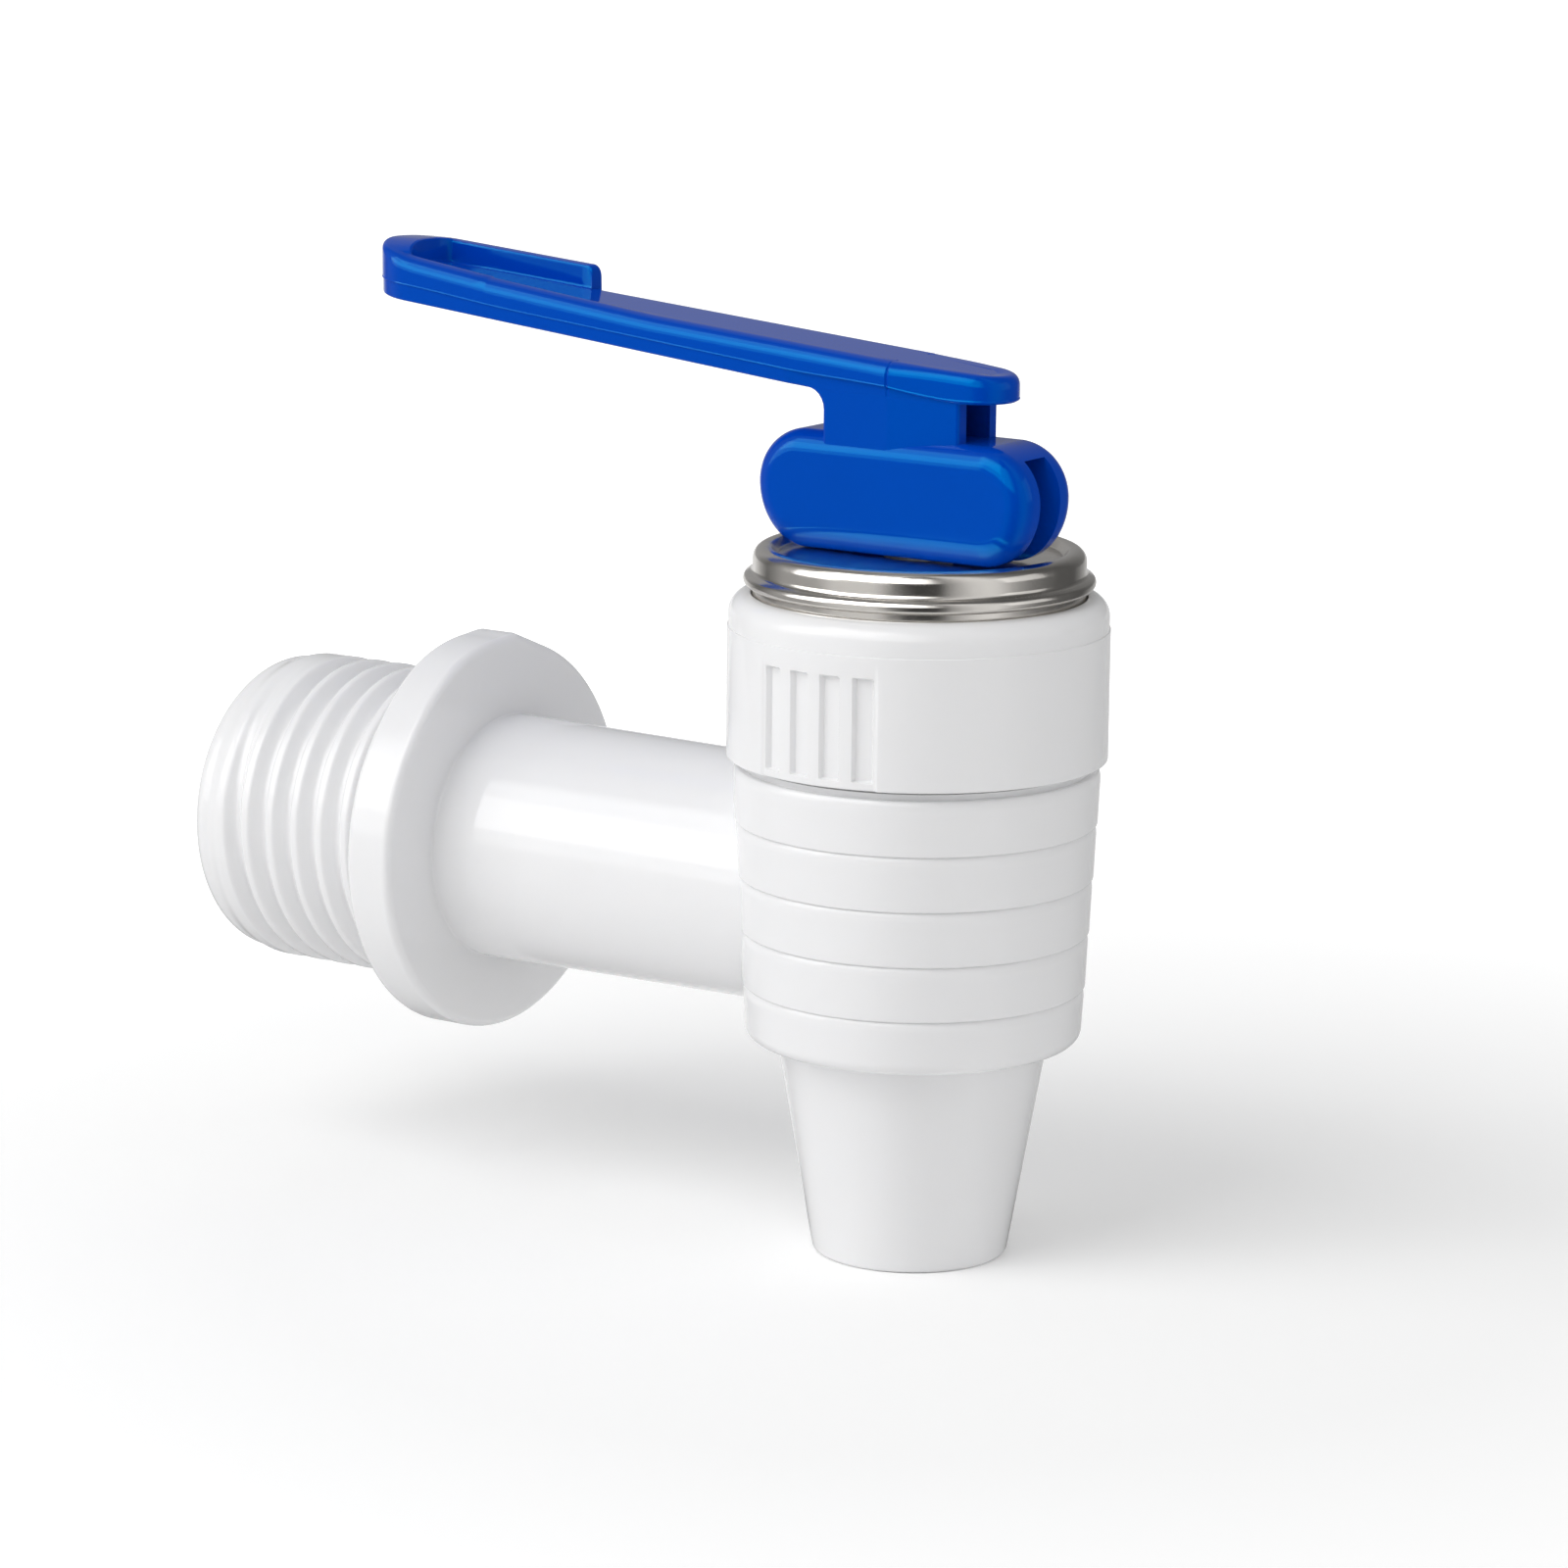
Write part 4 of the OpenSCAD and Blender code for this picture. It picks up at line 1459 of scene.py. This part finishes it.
@dataclass
class Studio:
    """Floor, backdrop, lamps and camera.

    Lengths are in millimetres, except for the floor's size and painted glow and for the lamps, which are in
    metres.
    Angles round Z are in degrees, from -Y towards +X. A ring gives brightness by the angle from the camera.
    """

    reach: float = 34.45
    floor_z: float = -22.0
    floor_size: float = 12.0
    paper: Pair = (0.95, 1.0)
    # Painted light: for camera rays the floor glows, from the first level near the barrel to the second
    # farther off, so it shows plain white away from the tap and darker round it.
    floor_glow: Pair = (0.04, 0.5)
    floor_glow_reach: Pair = (0.04, 0.2)
    fill: float = 0.58
    ring: Sequence[Pair] = (
        (-180, 0.3), (-155, 0.38), (-130, 0.13), (-106, 0.42), (-77, 0.42), (-55, 0.75), (-30, 0.8),
        (-20, 0.3), (-8, 0.05), (12, 0.06), (20, 0.4), (36, 0.85), (50, 0.95), (66, 0.45), (82, 0.2),
        (102, 0.12), (130, 0.1), (180, 0.3),
    )
    floor_back: float = 0.85
    floor_back_turn: float = 140.0
    bank: float = 3.0
    bank_ring: Sequence[Pair] = ((-180, 0.0), (-96, 0.0), (-88, 1.0), (-7, 1.0), (14, 0.0), (180, 0.0))
    bank_height: Sequence[Pair] = ((0.22, 0.0), (0.27, 1.0), (0.82, 1.0), (0.87, 0.0))
    lamps: Sequence[tuple[str, float, float, float]] = (
        ("key", -45.0, 20.0, 1.5), ("high", -15.0, 50.0, 1.9), ("side", 110.0, 20.0, 0.45)
    )
    lamp_target: Sequence[float] = (0.02, 0.0, 0.0)
    lamp_distance: float = 0.8
    lamp_size: float = 0.5
    azimuth: float = 33.75
    elevation: float = 11.95
    roll: float = 0.59
    shift: Pair = (7.77, -28.62)
    distance: float = 334.55
    focal_px: float = 5501.0
    photo_px: float = 1600.0
    sensor: float = 36.0
    clip_start: float = 0.01

    def round_view(self, graph: Graph, where: Socket, ring: Sequence[Pair]) -> Socket:
        """Draws the dark and pale walls round the tap, by direction from its barrel.

        Args:
            graph: The node tree to add to.
            where: The direction, or a place on the floor about the barrel's axis.
            ring: The brightness by the angle from the camera, in degrees.

        Returns:
            The brightness that shiny pieces reflect.
        """
        split = graph.add("SeparateXYZ")
        graph.link(where, split.inputs[0])
        away = graph.feed("Math", split.outputs["Y"], -1.0, operation="MULTIPLY")
        turn = graph.feed("Math", split.outputs["X"], away, operation="ARCTAN2")
        start = 0.5 - self.azimuth / 360
        share = graph.feed("Math", turn, 1 / (2 * math.pi), start, operation="MULTIPLY_ADD")
        wrap = graph.feed("Math", share, operation="FRACT")
        return graph.ramp(wrap, [((degrees + 180) / 360, level) for degrees, level in ring])

    def floor(self) -> None:
        """Lays a wide white floor under the nozzle's mouth, with its centre under the barrel and a painted
        glow for the camera and for reflections.
        """
        clear_selection()
        place = Vector((self.reach, 0, self.floor_z)) * MM
        bpy.ops.mesh.primitive_plane_add(size=self.floor_size, location=place)
        floor = bpy.context.object
        floor.name = "floor"
        paper = Coat("floor_paper")
        path = paper.add("LightPath")
        direct, shiny = path.outputs["Is Camera Ray"], path.outputs["Is Glossy Ray"]
        away = paper.add("VectorMath", operation="LENGTH")
        paper.link(paper.place, away.inputs[0])
        floor_glow = paper.remap(away.outputs["Value"], self.floor_glow_reach, self.floor_glow)
        # Painted light: camera rays see a whiter paper than the light that bounces off it, and the floor
        # glows for them only.
        paper.tie(
            Base_Color=paper.blend(direct, *((level, level, level) for level in self.paper)),
            Emission_Strength=paper.feed("Math", floor_glow, direct, operation="MULTIPLY"),
        )
        paper.fix(Roughness=1.0, Specular_IOR_Level=0.0, Emission_Color=(1, 1, 1, 1))
        # Painted reflection: to glossy rays the floor glows with the brightness of the walls round the tap,
        # and an even level behind it, instead of its own lit colour.
        turn = self.floor_back_turn
        ring = [(degrees, self.floor_back if abs(degrees) > turn else level) for degrees, level in self.ring]
        reflected_walls_glow = paper.feed("Emission", self.round_view(paper, paper.place, ring))
        mixed = paper.feed("MixShader", shiny, paper.shader.outputs[0], reflected_walls_glow)
        paper.link(mixed, paper.tree.nodes["Material Output"].inputs["Surface"])
        floor.data.materials.append(paper.material)

    def world(self) -> None:
        """Lights the scene evenly, shows plain white behind the object and the walls in its reflections."""
        world = bpy.data.worlds.new("studio")
        bpy.context.scene.world = world
        world.use_nodes = True
        world.node_tree.nodes.clear()
        graph = Graph(world.node_tree)
        path = graph.add("LightPath")
        way = graph.add("TexCoord").outputs["Generated"]
        split = graph.add("SeparateXYZ")
        graph.link(way, split.inputs[0])
        height = graph.ramp(split.outputs["Z"], self.bank_height)
        lit = graph.feed("Math", height, self.round_view(graph, way, self.bank_ring), operation="MULTIPLY")
        ring = self.round_view(graph, way, self.ring)
        walls = graph.feed("Background", graph.feed("Math", lit, self.bank, ring, operation="MULTIPLY_ADD"))
        fill = graph.feed("Background", Color=(1, 1, 1, 1), Strength=self.fill)
        white = graph.feed("Background", Color=(1, 1, 1, 1))
        shiny = graph.feed("MixShader", path.outputs["Is Glossy Ray"], fill, walls)
        seen = graph.feed("MixShader", path.outputs["Is Camera Ray"], shiny, white)
        graph.link(seen, graph.add("OutputWorld").inputs["Surface"])

    def lamp(self, name: str, azimuth: float, elevation: float, watts: float) -> None:
        """Hangs a soft area lamp that faces the object.

        Args:
            name: The lamp's name.
            azimuth: Its direction round Z, in degrees.
            elevation: Its height above the horizon, in degrees.
            watts: Its power.
        """
        way = towards(math.radians(azimuth), math.radians(elevation))
        clear_selection()
        bpy.ops.object.light_add(type="AREA", location=Vector(self.lamp_target) + way * self.lamp_distance)
        lamp = bpy.context.object
        lamp.name = name
        lamp.data.shape = "RECTANGLE"
        lamp.data.size = lamp.data.size_y = self.lamp_size
        lamp.data.energy = watts
        lamp.rotation_euler = way.to_track_quat("Z", "Y").to_euler()

    def camera(self) -> None:
        """Sets the camera where the photograph was taken from."""
        azimuth, elevation, roll = (math.radians(v) for v in (self.azimuth, self.elevation, self.roll))
        back = towards(azimuth, elevation)
        right = Vector((math.cos(azimuth), math.sin(azimuth), 0))
        up = back.cross(right)
        across = right * math.cos(roll) + up * math.sin(roll)
        upright = up * math.cos(roll) - right * math.sin(roll)
        place = Vector((self.reach, 0, self.floor_z)) - across * self.shift[0] - upright * self.shift[1]
        place += back * self.distance
        bpy.ops.object.camera_add()
        camera = bpy.context.object
        camera.data.sensor_width = self.sensor
        camera.data.lens = self.sensor * self.focal_px / self.photo_px
        camera.data.clip_start = self.clip_start
        turn = Matrix((across, upright, back)).transposed().to_4x4()
        camera.matrix_world = Matrix.Translation(place * MM) @ turn
        bpy.context.scene.camera = camera

    def build(self) -> None:
        """Sets up the whole studio."""
        self.floor()
        self.world()
        for name, azimuth, elevation, watts in self.lamps:
            self.lamp(name, azimuth, elevation, watts)
        self.camera()
        bpy.context.scene.view_settings.view_transform = "Standard"


def main() -> None:
    """Builds the tap's pieces in order, then the studio."""
    logging.basicConfig(level=logging.INFO, format="%(message)s")
    shop = Workshop()
    for part in (TapBody(shop), Bonnet(shop), CapPlate(shop), Lever(shop), Valve(shop), Studio()):
        part.build()
        LOG.info("%s built", type(part).__name__)


if __name__ == "__main__":
    main()
